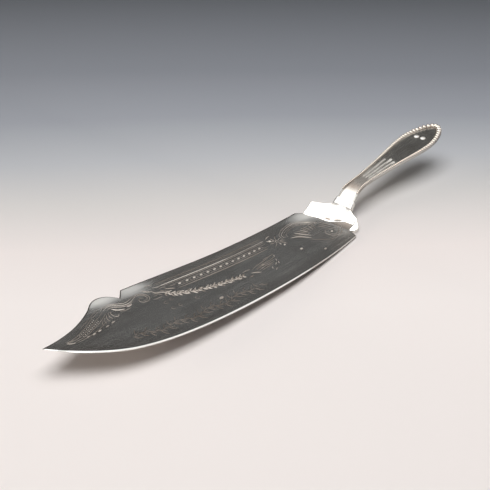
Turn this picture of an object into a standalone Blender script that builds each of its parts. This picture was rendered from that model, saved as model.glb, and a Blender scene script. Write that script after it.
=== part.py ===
"""Cake server: a scimitar-bladed cake knife with a beaded handle.

Every piece is laid out flat, as a silversmith cuts a blank: x runs from the tip of the blade
towards the end of the handle, y towards the spine, and h is the height above the top face of
the blade's sheet. The flat pieces are then bent together to one side profile, so they keep
their clearances along the whole length. All sizes are in metres.
"""

import math

import bmesh
import bpy
from mathutils import Vector

# Blade, in plan. x is 0 where the neck collar begins.
BLADE_LENGTH = 0.1752
BLADE_THICKNESS = 0.0013
EDGE_GRIND = 0.0011
TIP_Y = 0.0084
TIP_EDGE_SLOPE = -1.43
TIP_SPINE_SLOPE = 0.108

# Cutting edge: it turns under the tip, sweeps to its lowest point and rises to the heel.
TURN_FROM_TIP = 0.0302
TURN_Y = -0.0167
TURN_SLOPE = -0.364
BELLY_FROM_HEEL = 0.0622
BELLY_Y = -0.0240
HEEL_BELLY_Y = -0.0200
HEEL_EDGE_SLOPE = 0.158

# Spine: brow, hump and notch behind the tip, then a long shallow sweep to the heel.
NOTCH_FROM_TIP = 0.0500
NOTCH_DEPTH = 0.0055
NOTCH_RUN = 0.0050
NOTCH_SLOPE = -1.94
HUMP_RUN = 0.0078
HUMP_Y = 0.0267
BROW_RUN = 0.0112
BROW_DROP = 0.0068
BROW_SLOPE = 0.70
SPINE_END_Y = 0.0257
SPINE_END_SLOPE = -0.018
HEEL_SPINE_Y = 0.0203
HEEL_SPINE_SLOPE = 0.030

# Heel and tang: the notch at the shoulder and the hidden end of the blade.
HEEL_NOTCH = 0.0030
HEEL_SKEW = 0.0010
HEEL_LAP = 0.0042
HEEL_TAPER = 0.0030
TANG_WIDTH = 0.0046
TANG_LENGTH = 0.0360

# Shoulder between blade and neck: a sharp lobe on the spine side, a round horn on the other.
SHOULDER_FRONT = 0.0118
SHOULDER_EDGE = 0.0006
SHOULDER_SPINE_Y = 0.0166
SHOULDER_BELLY_Y = -0.0146
SPINE_LOBE_Y = 0.0184
SPINE_LOBE_SLOPE = 0.25
SPINE_CORNER = 0.0035
CORNER_DROP = 0.0004
BELLY_LOBE_Y = -0.0172
HORN_RUN = 0.0025
LOBE_DROP = 0.0012
LOBE_THICKNESS = 0.0016
NECK_FILLET = 0.0027
NECK_WIDTH = 0.0122
NECK_TOP = 0.0017
NECK_CROWN = 0.0009

# Neck collar.
COLLAR_LENGTH = 0.0026
COLLAR_WIDTH = 0.0130
COLLAR_PROUD = 0.0006
COLLAR_SWELL = 0.00036
COLLAR_SQUARENESS = 3.2

# Handle, in plan and in thickness. The back's covers are measured under the blade's sheet.
HANDLE_LENGTH = 0.0901
HANDLE_NECK_WIDTH = 0.0116
HANDLE_NECK_SLOPE = -0.17
WAIST_WIDTH = 0.0090
WAIST_FROM_NECK = 0.0126
TERMINAL_WIDTH = 0.0205
TERMINAL_FROM_END = 0.0225
FACE_HEIGHT = 0.00095
BACK_COVER_NECK = 0.0012
BACK_COVER_END = 0.0003
BACK_ROUND = 0.0022
BACK_WALL = 0.0003

# Beaded border: half-round beads on a ledge round the face.
BEAD_RADIUS_END = 0.00105
BEAD_RADIUS_NECK = 0.00060
BEAD_START = 0.0035
BORDER_INSET = 0.00015

# Three reeds that fan out along the stem, and two pearls near the end of the handle.
REED_FROM_WAIST = 0.0060
REED_SPREAD = 0.56
REED_MIDDLE_LENGTH = 0.0255
REED_SIDE_LENGTH = 0.0235
REED_RADIUS = 0.00080
REED_THIN_RADIUS = 0.00028
REED_HEIGHT = 0.00062
REED_ROOT = 0.00025
REED_NOSE = 0.0022
PEARL_RADIUS = 0.0014
PEARL_HEIGHT = 0.0012
PEARL_GAP = 0.0015
PEARL_FROM_END = 0.0190

# Side profile of the sheet's top face.
TIP_LIFT = 0.0075
TIP_SLOPE = -0.085
REST_LENGTH = 0.0500
NECK_RISE = 0.00660
NECK_SLOPE = 0.98
KNEE_RUN = 0.0058
KNEE_RISE = 0.0054
KNEE_SLOPE = 0.52
STEM_RUN = 0.0076
STEM_RISE = 0.0024
STEM_SLOPE = 0.15
HANDLE_RISE = 0.0110
END_SLOPE = 0.17

# Room left between pieces that touch.
CLEARANCE = 0.0003

# Fullness of each curve: shares of its run over which it keeps its first and last direction.
NOSE_FULLNESS = (0.18, 0.43)
BELLY_FULLNESS = (0.20, 0.50)
HEEL_FULLNESS = (0.40, 0.30)
TIP_FULLNESS = (0.49, 0.25)
BROW_FULLNESS = (0.38, 0.45)
HUMP_FULLNESS = (0.50, 0.20)
SPINE_FULLNESS = (0.28, 0.43)
LOBE_FULLNESS = (0.38, 0.23)
NECK_FULLNESS = (0.28, 0.36)
STEM_FULLNESS = (0.34, 0.22)
TERMINAL_FULLNESS = (0.33, 0.64)
ROUND_FULLNESS = 0.55
HORN_FULLNESS = 0.47

# Fineness of the meshes: shortest distance between sections, steps along x, points round.
SECTION_GAP = 0.00008
RAMP_STEP = 0.0015
TANG_STEP = 0.0060
SHOULDER_STEP = 0.0010
NECK_CORE = 0.8
COLLAR_POINTS = 32
BEAD_SECTIONS = (-0.8, -0.3, 0.3, 0.8)
BEAD_POINTS = 6
REED_SECTIONS = 15
REED_POINTS = 7
PEARL_POINTS = 24
PEARL_RINGS = 6
SLOPE_STEP = 0.0005
WELD = 1e-7
SHARP_ANGLE = math.radians(35.0)

# Places along x that follow from the sizes above.
FRONT_X = -SHOULDER_FRONT
HEEL_X = FRONT_X - HEEL_NOTCH
TIP_X = HEEL_X - BLADE_LENGTH
TURN_X = TIP_X + TURN_FROM_TIP
BELLY_X = HEEL_X - BELLY_FROM_HEEL
NOTCH_X = TIP_X + NOTCH_FROM_TIP
SPINE_END_X = NOTCH_X + NOTCH_RUN
HUMP_X = NOTCH_X - HUMP_RUN
BROW_X = HUMP_X - BROW_RUN
HEEL_BACK_X = FRONT_X + HEEL_LAP
TANG_X = HEEL_BACK_X + HEEL_TAPER
HANDLE_X = COLLAR_LENGTH + CLEARANCE
TANG_END_X = HANDLE_X + TANG_LENGTH
END_X = HANDLE_X + HANDLE_LENGTH
WAIST_X = HANDLE_X + WAIST_FROM_NECK
TERMINAL_X = END_X - TERMINAL_FROM_END
REED_X = WAIST_X + REED_FROM_WAIST
PEARL_X = END_X - PEARL_FROM_END
SWEEP_X = HEEL_X - REST_LENGTH
NECK_X = COLLAR_LENGTH / 2
KNEE_X = NECK_X + KNEE_RUN
STEM_X = KNEE_X + STEM_RUN

# Heights that follow: of the profile above the ground, of the pieces above the sheet's top face.
NECK_Z = BLADE_THICKNESS + NECK_RISE
KNEE_Z = NECK_Z + KNEE_RISE
STEM_Z = KNEE_Z + STEM_RISE
SPLIT_HEIGHT = -BLADE_THICKNESS / 2
FRONT_SPLIT = SPLIT_HEIGHT + CLEARANCE / 2
BACK_SPLIT = SPLIT_HEIGHT - CLEARANCE / 2
LEDGE_HEIGHT = FACE_HEIGHT - CLEARANCE
COLLAR_TOP = NECK_TOP + COLLAR_PROUD

# The side profile as (x, height, slope), joined by cubic curves.
PROFILE = (
    (TIP_X, BLADE_THICKNESS + TIP_LIFT, TIP_SLOPE),
    (SWEEP_X, BLADE_THICKNESS, 0.0),
    (HEEL_X, BLADE_THICKNESS, 0.0),
    (NECK_X, NECK_Z, NECK_SLOPE),
    (KNEE_X, KNEE_Z, KNEE_SLOPE),
    (STEM_X, STEM_Z, STEM_SLOPE),
    (END_X, STEM_Z + HANDLE_RISE, END_SLOPE),
)


def smooth(value):
    """Smooth step from 0 to 1 with flat ends."""
    value = min(max(value, 0.0), 1.0)
    return value * value * (3.0 - 2.0 * value)


def mix(start, end, share):
    return start + (end - start) * share


def bezier(p0, p1, p2, p3, count):
    """Points of a cubic Bezier curve in plan, both ends included."""
    points = []
    for i in range(count + 1):
        t = i / count
        a, b, c, d = (1 - t) ** 3, 3 * t * (1 - t) ** 2, 3 * t * t * (1 - t), t ** 3
        x = a * p0[0] + b * p1[0] + c * p2[0] + d * p3[0]
        y = a * p0[1] + b * p1[1] + c * p2[1] + d * p3[1]
        points.append((x, y))
    return points


def sweep(start, first_slope, end, last_slope, fullness, count):
    """Curve in plan that leaves start and reaches end with the given slopes."""
    run = end[0] - start[0]
    first = fullness[0] * run
    last = fullness[1] * run
    return bezier(start, (start[0] + first, start[1] + first_slope * first),
                  (end[0] - last, end[1] - last_slope * last), end, count)


def chain(*runs):
    """One line of points from several runs that share their end points."""
    points = list(runs[0])
    for run in runs[1:]:
        points.extend(run[1:])
    return points


def y_at(line, x):
    """y of a line of points, which rises in x, at x."""
    for (xa, ya), (xb, yb) in zip(line, line[1:]):
        if xa <= x <= xb and xb > xa:
            return mix(ya, yb, (x - xa) / (xb - xa))
    return line[0][1] if x < line[0][0] else line[-1][1]


def profile(x):
    """Height and slope of the sheet's top face at x."""
    if x <= PROFILE[0][0]:
        x0, z0, slope = PROFILE[0]
        return z0 + slope * (x - x0), slope
    for (x0, z0, s0), (x1, z1, s1) in zip(PROFILE, PROFILE[1:]):
        if x <= x1:
            run = x1 - x0
            t = (x - x0) / run
            height = (
                z0 * (1 + 2 * t) * (1 - t) ** 2 + z1 * t * t * (3 - 2 * t)
                + run * (s0 * t * (1 - t) ** 2 + s1 * t * t * (t - 1))
            )
            slope = (
                6 * t * (1 - t) * (z1 - z0) / run
                + s0 * (1 - t) * (1 - 3 * t) + s1 * t * (3 * t - 2)
            )
            return height, slope
    x1, z1, slope = PROFILE[-1]
    return z1 + slope * (x - x1), slope


def bend(x, y, h):
    """Place of a point of the flat layout on the bent server."""
    z, slope = profile(x)
    length = math.hypot(1.0, slope)
    return Vector((x - h * slope / length, y, z + h / length))


def spread(start, end, step):
    """Even stations from start to end, about step apart, both ends included."""
    count = max(1, math.ceil((end - start) / step))
    return [mix(start, end, i / count) for i in range(count + 1)]


def merge_stations(*groups):
    """All stations in order, without those that nearly coincide."""
    merged = []
    for x in sorted(value for group in groups for value in group):
        if not merged or x - merged[-1] > SECTION_GAP:
            merged.append(x)
    return merged


def bend_stations():
    """Stations that follow the side profile between the heel and the end of the tang."""
    ramp = spread(HEEL_X, STEM_X, RAMP_STEP)
    return merge_stations(ramp, spread(STEM_X, TANG_END_X, TANG_STEP))


def silver(name, colour, roughness):
    """Polished silver of one piece."""
    material = bpy.data.materials.new(name)
    material.use_nodes = True
    shader = material.node_tree.nodes["Principled BSDF"]
    shader.inputs["Base Color"].default_value = (*colour, 1.0)
    shader.inputs["Metallic"].default_value = 1.0
    shader.inputs["Roughness"].default_value = roughness
    material.diffuse_color = (*colour, 1.0)
    return material


def finish(name, bm, material=None):
    """Merge shared corners, face the body outwards and make it an object."""
    bmesh.ops.remove_doubles(bm, verts=bm.verts, dist=WELD)
    bmesh.ops.dissolve_degenerate(bm, edges=bm.edges, dist=WELD)
    bmesh.ops.recalc_face_normals(bm, faces=bm.faces)
    mesh = bpy.data.meshes.new(name)
    bm.to_mesh(mesh)
    bm.free()
    mesh.shade_smooth()
    mesh.set_sharp_from_angle(angle=SHARP_ANGLE)
    piece = bpy.data.objects.new(name, mesh)
    bpy.context.collection.objects.link(piece)
    if material:
        mesh.materials.append(material)
    else:
        piece.hide_render = True
        piece.display_type = "WIRE"
    return piece


def cut(piece, cutter, operation="DIFFERENCE"):
    """Boolean of a piece with a hidden body."""
    boolean = piece.modifiers.new(cutter.name, "BOOLEAN")
    boolean.operation = operation
    boolean.solver = "EXACT"
    boolean.object = cutter


def grid_solid(top, bottom):
    """Closed body between two grids of bent points with the same rows and columns."""
    bm = bmesh.new()
    upper = [[bm.verts.new(bend(*p)) for p in row] for row in top]
    lower = [[bm.verts.new(bend(*p)) for p in row] for row in bottom]
    rows = len(top)
    columns = len(top[0])
    for i in range(rows - 1):
        for j in range(columns - 1):
            for sheet in (upper, lower):
                bm.faces.new((sheet[i][j], sheet[i + 1][j], sheet[i + 1][j + 1], sheet[i][j + 1]))
        for j in (0, columns - 1):
            bm.faces.new((upper[i][j], upper[i + 1][j], lower[i + 1][j], lower[i][j]))
    for i in (0, rows - 1):
        for j in range(columns - 1):
            bm.faces.new((upper[i][j], upper[i][j + 1], lower[i][j + 1], lower[i][j]))
    return bm


def loop_solid(loops):
    """Closed body through a row of bent loops, capped at both ends."""
    bm = bmesh.new()
    rings = [[bm.verts.new(bend(*p)) for p in loop] for loop in loops]
    count = len(rings[0])
    for a, b in zip(rings, rings[1:]):
        for i in range(count):
            j = (i + 1) % count
            bm.faces.new((a[i], a[j], b[j], b[i]))
    bm.faces.new(rings[0])
    bm.faces.new(rings[-1])
    return bm


def ring_solid(rings):
    """Closed body of the handle through rings given on the spine side, mirrored to the other.

    Each ring runs from the neck to the end of the handle, where it meets its mirror image.
    """
    bm = bmesh.new()
    spine = [[bm.verts.new(bend(x, y, h)) for x, y, h in ring] for ring in rings]
    belly = [[bm.verts.new(bend(x, -y, h)) for x, y, h in ring[:-1]] for ring in rings]
    for ring, mirror in zip(spine, belly):
        mirror.append(ring[-1])
    last = len(rings[0]) - 1
    for k in range(last):
        for side in (spine, belly):
            for a, b in zip(side, side[1:]):
                corners = [a[k], a[k + 1], b[k + 1], b[k]]
                bm.faces.new(corners)
        for j in (0, len(rings) - 1):
            corners = [spine[j][k], spine[j][k + 1], belly[j][k + 1], belly[j][k]]
            if k == last - 1:
                corners.pop(2)
            bm.faces.new(corners)
    bm.faces.new([ring[0] for ring in spine] + [ring[0] for ring in reversed(belly)])
    return bm


def belly_line():
    """Cutting edge in plan, from the tip to the heel and along the tang."""
    tip = (TIP_X, TIP_Y)
    turn = (TURN_X, TURN_Y)
    deep = (BELLY_X, BELLY_Y)
    heel = (HEEL_X + HEEL_SKEW, HEEL_BELLY_Y)
    return chain(
        sweep(tip, TIP_EDGE_SLOPE, turn, TURN_SLOPE, NOSE_FULLNESS, 14),
        sweep(turn, TURN_SLOPE, deep, 0.0, BELLY_FULLNESS, 12),
        sweep(deep, 0.0, heel, HEEL_EDGE_SLOPE, HEEL_FULLNESS, 10),
        heel_run(heel, SHOULDER_BELLY_Y, -1.0),
    )


def spine_line():
    """Spine in plan, from the tip over the hump and the notch to the heel and the tang."""
    tip = (TIP_X, TIP_Y)
    brow = (BROW_X, HUMP_Y - BROW_DROP)
    crest = (HUMP_X, HUMP_Y)
    notch = (NOTCH_X, SPINE_END_Y - NOTCH_DEPTH)
    corner = (SPINE_END_X, SPINE_END_Y)
    heel = (HEEL_X - HEEL_SKEW, HEEL_SPINE_Y)
    return chain(
        sweep(tip, TIP_SPINE_SLOPE, brow, BROW_SLOPE, TIP_FULLNESS, 10),
        sweep(brow, BROW_SLOPE, crest, 0.0, BROW_FULLNESS, 7),
        sweep(crest, 0.0, notch, NOTCH_SLOPE, HUMP_FULLNESS, 7),
        [notch, corner],
        sweep(corner, SPINE_END_SLOPE, heel, HEEL_SPINE_SLOPE, SPINE_FULLNESS, 12),
        heel_run(heel, SHOULDER_SPINE_Y, 1.0),
    )


def heel_run(corner, shoulder_y, side):
    """From a heel corner round the notch at the shoulder to the end of the tang."""
    half = side * TANG_WIDTH / 2
    inner = shoulder_y - side * 2 * CLEARANCE
    return [corner, (FRONT_X, inner), (HEEL_BACK_X, inner), (TANG_X, half), (TANG_END_X, half)]


def grind_width(x, edge):
    """Width across the blade, in y, of the ground cutting edge at x."""
    heel_x = HEEL_X + HEEL_SKEW
    if x > heel_x:
        return 0.0
    ahead = max(x - SLOPE_STEP, TIP_X)
    behind = min(x + SLOPE_STEP, heel_x)
    slope = (y_at(edge, behind) - y_at(edge, ahead)) / (behind - ahead)
    return EDGE_GRIND * math.hypot(1.0, slope)


def make_blade():
    """Sheet between the cutting edge and the spine, ground along the edge, with its tang."""
    edge = belly_line()
    spine = spine_line()
    stations = merge_stations([x for x, _ in edge + spine], bend_stations())
    top = []
    bottom = []
    for x in stations:
        low = y_at(edge, x)
        high = y_at(spine, x)
        grind = min(grind_width(x, edge), (high - low) / 2)
        top.append([(x, mix(low + grind, high, j / 3), 0.0) for j in range(4)])
        bottom.append([(x, mix(low, high, j / 3), -BLADE_THICKNESS) for j in range(4)])
    material = silver("blade_silver", (0.86, 0.85, 0.82), 0.12)
    return finish("blade", grid_solid(top, bottom), material)


def make_sheet_cutter():
    """Room for the heel and tang: the blade's back end grown by the clearance."""
    half = TANG_WIDTH / 2 + CLEARANCE
    wide = HEEL_SPINE_Y - HEEL_BELLY_Y
    outer = [(2 * HEEL_X, wide), (FRONT_X + CLEARANCE, wide)]

    def line(shoulder_y):
        inner = abs(shoulder_y) - CLEARANCE
        run = [(FRONT_X + 2 * CLEARANCE, inner), (HEEL_BACK_X + CLEARANCE, inner)]
        tail = [(TANG_X + CLEARANCE, half), (TANG_END_X + CLEARANCE, half)]
        return outer + run + tail

    high = line(SHOULDER_SPINE_Y)
    low = line(SHOULDER_BELLY_Y)
    stations = merge_stations([x for x, _ in high], bend_stations(), [2 * HEEL_X])
    rows = [[(x, -y_at(low, x)), (x, y_at(high, x))] for x in stations]
    top = [[(x, y, CLEARANCE) for x, y in row] for row in rows]
    bottom = [[(x, y, -BLADE_THICKNESS - CLEARANCE) for x, y in row] for row in rows]
    return finish("sheet_cutter", grid_solid(top, bottom))


def lobe_lines():
    """Outer edges of the shoulder in plan, belly side and spine side, front to neck."""
    neck = NECK_WIDTH / 2
    corner = (-SPINE_CORNER, SPINE_LOBE_Y)
    horn = (FRONT_X + HORN_RUN, BELLY_LOBE_Y)
    spine_front = (FRONT_X, SHOULDER_SPINE_Y)
    belly_front = (FRONT_X, SHOULDER_BELLY_Y)
    spine = chain(
        sweep(spine_front, SPINE_LOBE_SLOPE, corner, 0.0, LOBE_FULLNESS, 6),
        bezier(corner, (-NECK_FILLET, SPINE_LOBE_Y - CORNER_DROP),
               (-NECK_FILLET, neck + NECK_FILLET), (0.0, neck), 9),
    )
    belly = chain(
        bezier(belly_front, (FRONT_X, mix(SHOULDER_BELLY_Y, BELLY_LOBE_Y, ROUND_FULLNESS)),
               (mix(horn[0], FRONT_X, ROUND_FULLNESS), BELLY_LOBE_Y), horn, 5),
        bezier(horn, (mix(horn[0], 0.0, HORN_FULLNESS), BELLY_LOBE_Y),
               (-NECK_FILLET, -neck - NECK_FILLET), (0.0, -neck), 11),
    )
    return belly, spine


def make_shoulder(cutter):
    """Lobed plate from the heel of the blade up to the neck, cut out for heel and tang."""
    belly, spine = lobe_lines()
    neck = NECK_WIDTH / 2
    core = NECK_CORE * neck
    stations = merge_stations([x for x, _ in belly + spine], spread(FRONT_X, 0.0, SHOULDER_STEP))

    def columns(x):
        low = y_at(belly, x)
        high = y_at(spine, x)
        outer = [mix(low, -core, i / 4) for i in range(4)]
        middle = [mix(-core, core, i / 6) for i in range(7)]
        return outer + middle + [mix(core, high, (i + 1) / 4) for i in range(4)]

    def crown(y):
        return NECK_CROWN * min(abs(y) / neck, 1.0) ** 2

    def top(x, y):
        rise = smooth((x - FRONT_X) / SHOULDER_FRONT)
        lobe = SPINE_LOBE_Y if y > 0 else -BELLY_LOBE_Y
        behind = smooth((x - HEEL_BACK_X) / -HEEL_BACK_X)
        drop = LOBE_DROP * behind * smooth((abs(y) - neck) / (lobe - neck))
        return mix(CLEARANCE + SHOULDER_EDGE, NECK_TOP, rise) - rise * crown(y) - drop

    def bottom(x, y):
        deep = smooth((x - HEEL_BACK_X) / -HEEL_BACK_X) * smooth(2.0 - abs(y) / neck)
        return mix(top(x, y) - LOBE_THICKNESS, crown(y) - BLADE_THICKNESS - NECK_TOP, deep)

    upper = [[(x, y, top(x, y)) for y in columns(x)] for x in stations]
    lower = [[(x, y, bottom(x, y)) for y in columns(x)] for x in stations]
    material = silver("shoulder_silver", (0.90, 0.89, 0.86), 0.10)
    shoulder = finish("shoulder", grid_solid(upper, lower), material)
    cut(shoulder, cutter)
    return shoulder


def make_collar(cutter):
    """Proud band round the neck: rounded loops with a slightly swollen middle."""
    middle = SPLIT_HEIGHT
    loops = []
    for share in (0.0, 0.12, 0.5, 0.88, 1.0):
        swell = COLLAR_SWELL * (math.sqrt(math.sin(math.pi * share)) - 1.0)
        x = mix(CLEARANCE, COLLAR_LENGTH, share)
        half = mix(COLLAR_WIDTH, HANDLE_NECK_WIDTH + 2 * COLLAR_PROUD, share) / 2 + swell
        tall = COLLAR_TOP - middle + swell
        loop = []
        for i in range(COLLAR_POINTS):
            angle = math.tau * i / COLLAR_POINTS
            c, s = math.cos(angle), math.sin(angle)
            y = half * math.copysign(abs(c) ** (2 / COLLAR_SQUARENESS), c)
            h = middle + tall * math.copysign(abs(s) ** (2 / COLLAR_SQUARENESS), s)
            loop.append((x, y, h))
        loops.append(loop)
    material = silver("collar_silver", (0.90, 0.89, 0.86), 0.10)
    collar = finish("neck_collar", loop_solid(loops), material)
    cut(collar, cutter)
    return collar


def handle_line(fine=1):
    """Edge of the handle on the spine side in plan, from the neck to the end on the axis."""
    neck = (HANDLE_X, HANDLE_NECK_WIDTH / 2)
    waist = (WAIST_X, WAIST_WIDTH / 2)
    wide = (TERMINAL_X, TERMINAL_WIDTH / 2)
    run, rise = TERMINAL_FULLNESS
    return chain(
        sweep(neck, HANDLE_NECK_SLOPE, waist, 0.0, NECK_FULLNESS, 6 * fine),
        sweep(waist, 0.0, wide, 0.0, STEM_FULLNESS, 14 * fine),
        bezier(wide, (TERMINAL_X + run * TERMINAL_FROM_END, wide[1]),
               (END_X, rise * wide[1]), (END_X, 0.0), 14 * fine),
    )


def inward(line, k):
    """Unit direction into the handle at a point of its edge, straight across at both ends."""
    if k == 0:
        return 0.0, -1.0
    if k == len(line) - 1:
        return -1.0, 0.0
    dx = line[k + 1][0] - line[k - 1][0]
    dy = line[k + 1][1] - line[k - 1][1]
    length = math.hypot(dx, dy)
    return dy / length, -dx / length


def inset(line, distance, height):
    """Ring of the handle's edge moved inwards, with distance and height as functions of x."""
    ring = []
    for k, (x, y) in enumerate(line):
        dx, dy = inward(line, k)
        ring.append((x + dx * distance(x), max(y + dy * distance(x), 0.0), height(x)))
    return ring


def bead_radius(x):
    """Radius of the border's beads, growing from the neck to the end of the handle."""
    return mix(BEAD_RADIUS_NECK, BEAD_RADIUS_END, smooth((x - HANDLE_X) / HANDLE_LENGTH))


def ledge_width(x):
    """Width of the ledge that carries the border, with room beside the face."""
    return 2 * bead_radius(x) + BORDER_INSET + CLEARANCE


def make_handle_front(cutters, reeds):
    """Upper half of the handle: edge wall, ledge for the border and the flat face."""
    line = handle_line()
    rings = [
        inset(line, lambda x: 0.0, lambda x: FRONT_SPLIT),
        inset(line, lambda x: 0.0, lambda x: LEDGE_HEIGHT),
        inset(line, ledge_width, lambda x: LEDGE_HEIGHT),
        inset(line, ledge_width, lambda x: FACE_HEIGHT),
    ]
    material = silver("handle_silver", (0.84, 0.83, 0.80), 0.14)
    front = finish("handle_front", ring_solid(rings), material)
    cut(front, reeds, "UNION")
    for cutter in cutters:
        cut(front, cutter)
    return front


def make_handle_back(cutter):
    """Lower half of the handle, rounded over from its edge to a nearly flat back."""
    line = handle_line()
    edge = BACK_SPLIT - BACK_WALL
    round_over = min(BACK_ROUND, WAIST_WIDTH / 3)

    def depth(share):
        def at(x):
            cover = mix(BACK_COVER_NECK, BACK_COVER_END, smooth((x - HANDLE_X) / HANDLE_LENGTH))
            return mix(edge, min(-BLADE_THICKNESS - cover, edge), share)
        return at

    rings = [
        inset(line, lambda x: 0.0, lambda x: BACK_SPLIT),
        inset(line, lambda x: 0.0, depth(0.0)),
    ]
    for step in (1, 2, 3):
        angle = math.pi / 2 * step / 3
        distance = round_over * (1 - math.cos(angle))
        rings.append(inset(line, lambda x, d=distance: d, depth(math.sin(angle))))
    material = silver("handle_back_silver", (0.84, 0.83, 0.80), 0.16)
    back = finish("handle_back", ring_solid(rings), material)
    cut(back, cutter)
    return back


def bead_places():
    """Beads of one side as (distance from the end along the edge, radius), the end bead first."""
    line = list(reversed(handle_line(fine=6)))
    lengths = [0.0]
    for (xa, ya), (xb, yb) in zip(line, line[1:]):
        lengths.append(lengths[-1] + math.hypot(xb - xa, yb - ya))
    track = list(zip(lengths, (x for x, _ in line)))
    stop = lengths[-1] - BEAD_START
    beads = [(0.0, BEAD_RADIUS_END)]
    while True:
        at, radius = beads[-1]
        step = radius + bead_radius(y_at(track, at + 2 * radius))
        if at + step > stop:
            return beads, line, lengths
        beads.append((at + step, bead_radius(y_at(track, at + step))))


def make_bead_border():
    """Half-round beaded wire: loops along the edge that swell at each bead."""
    beads, line, lengths = bead_places()
    track_x = list(zip(lengths, (x for x, _ in line)))
    track_y = list(zip(lengths, (y for _, y in line)))

    def loop(at, share, radius, side):
        place = at + share * radius
        ahead = max(place - SLOPE_STEP, 0.0)
        behind = place + SLOPE_STEP
        dx = y_at(track_x, behind) - y_at(track_x, ahead)
        dy = y_at(track_y, behind) - y_at(track_y, ahead)
        length = math.hypot(dx, dy)
        in_x, in_y = -dy / length, dx / length
        swell = radius * math.sqrt(1.0 - share * share)
        points = []
        for i in range(BEAD_POINTS):
            angle = math.pi * i / (BEAD_POINTS - 1)
            into = BORDER_INSET + radius - swell * math.cos(angle)
            x = y_at(track_x, place) + in_x * into
            y = y_at(track_y, place) + in_y * into
            points.append((x, side * y, FACE_HEIGHT + swell * math.sin(angle)))
        return points

    sections = [(at, share, radius) for at, radius in beads for share in BEAD_SECTIONS]
    half = [section for section in sections if section[0] + section[1] * section[2] > 0.0]
    spine = [loop(*section, 1.0) for section in half]
    belly = [loop(*section, -1.0) for section in half]
    loops = list(reversed(belly)) + spine
    material = silver("border_silver", (0.92, 0.90, 0.86), 0.10)
    return finish("bead_border", loop_solid(loops), material)


def reed_loops(side):
    """Loops of one reed, which swells and fans out along the stem and ends in a round nose."""
    length = REED_SIDE_LENGTH if side else REED_MIDDLE_LENGTH
    edge = handle_line()
    loops = []
    for i in range(REED_SECTIONS):
        share = i / (REED_SECTIONS - 1)
        x = REED_X + share * length
        face = y_at(edge, x) - ledge_width(x)
        middle = side * REED_SPREAD * face
        past = max(1.0 - (1.0 - share) * length / REED_NOSE, 0.0)
        nose = math.sqrt(max(1.0 - past * past, WELD))
        radius = mix(REED_THIN_RADIUS, REED_RADIUS, share) * nose
        loop = [(x, middle - radius, FACE_HEIGHT - REED_ROOT)]
        for j in range(REED_POINTS):
            angle = math.pi * j / (REED_POINTS - 1)
            height = REED_HEIGHT * radius / REED_RADIUS * math.sin(angle)
            loop.append((x, middle - radius * math.cos(angle), FACE_HEIGHT + SECTION_GAP + height))
        loop.append((x, middle + radius, FACE_HEIGHT - REED_ROOT))
        loops.append(loop)
    return loops


def make_reeds():
    """The three reeds as one hidden body, joined to the face of the handle."""
    together = bmesh.new()
    for side in (-1.0, 0.0, 1.0):
        reed = loop_solid(reed_loops(side))
        mesh = bpy.data.meshes.new("reed")
        reed.to_mesh(mesh)
        reed.free()
        together.from_mesh(mesh)
        bpy.data.meshes.remove(mesh)
    return finish("reeds", together)


def disc(x, y, radius, height):
    """Flat loop of the layout round a centre."""
    angles = [math.tau * i / PEARL_POINTS for i in range(PEARL_POINTS)]
    return [(x + radius * math.cos(a), y + radius * math.sin(a), height) for a in angles]


def make_pearl(name, y):
    """Small dome standing on the face in a shallow seat."""
    loops = []
    for i in range(PEARL_RINGS):
        angle = math.pi / 2 * i / PEARL_RINGS
        height = FACE_HEIGHT + PEARL_HEIGHT * math.sin(angle)
        loops.append(disc(PEARL_X, y, PEARL_RADIUS * math.cos(angle), height))
    return finish(name, loop_solid(loops), silver(name + "_silver", (0.92, 0.91, 0.88), 0.08))


def make_pearl_seat(name, y):
    """Cutter for the shallow round seat under a pearl."""
    reach = PEARL_RADIUS + CLEARANCE
    heights = (FACE_HEIGHT - CLEARANCE, FACE_HEIGHT + PEARL_HEIGHT)
    return finish(name, loop_solid([disc(PEARL_X, y, reach, h) for h in heights]))


def stand_on_origin(pieces):
    """Carry all pieces on one empty that centres their box over the origin."""
    points = [vertex.co for piece in pieces for vertex in piece.data.vertices]
    centre = [(min(p[i] for p in points) + max(p[i] for p in points)) / 2 for i in (0, 1)]
    stand = bpy.data.objects.new("server", None)
    bpy.context.collection.objects.link(stand)
    stand.location = (-centre[0], -centre[1], 0.0)
    return stand


def main():
    for old in list(bpy.data.objects):
        bpy.data.objects.remove(old, do_unlink=True)
    sheet_cutter = make_sheet_cutter()
    reeds = make_reeds()
    half = PEARL_RADIUS + PEARL_GAP / 2
    seats = [make_pearl_seat("seat_far", half), make_pearl_seat("seat_near", -half)]
    pieces = [
        make_blade(),
        make_shoulder(sheet_cutter),
        make_collar(sheet_cutter),
        make_handle_front([sheet_cutter] + seats, reeds),
        make_handle_back(sheet_cutter),
        make_bead_border(),
        make_pearl("pearl_far", half),
        make_pearl("pearl_near", -half),
    ]
    stand = stand_on_origin(pieces)
    for piece in pieces + seats + [sheet_cutter, reeds]:
        piece.parent = stand


main()
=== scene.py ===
"""Looks of a silver cake server: a broad engraved blade, a lobed shoulder and a beaded handle.

Every piece is laid out flat and then bent to one side profile, as the CAD solids are. In the flat
layout x runs from the tip towards the end of the handle and is 0 where the neck collar begins, y
runs towards the spine of the blade, and h is the height above the top face of the blade's sheet.
"""

import math

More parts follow.
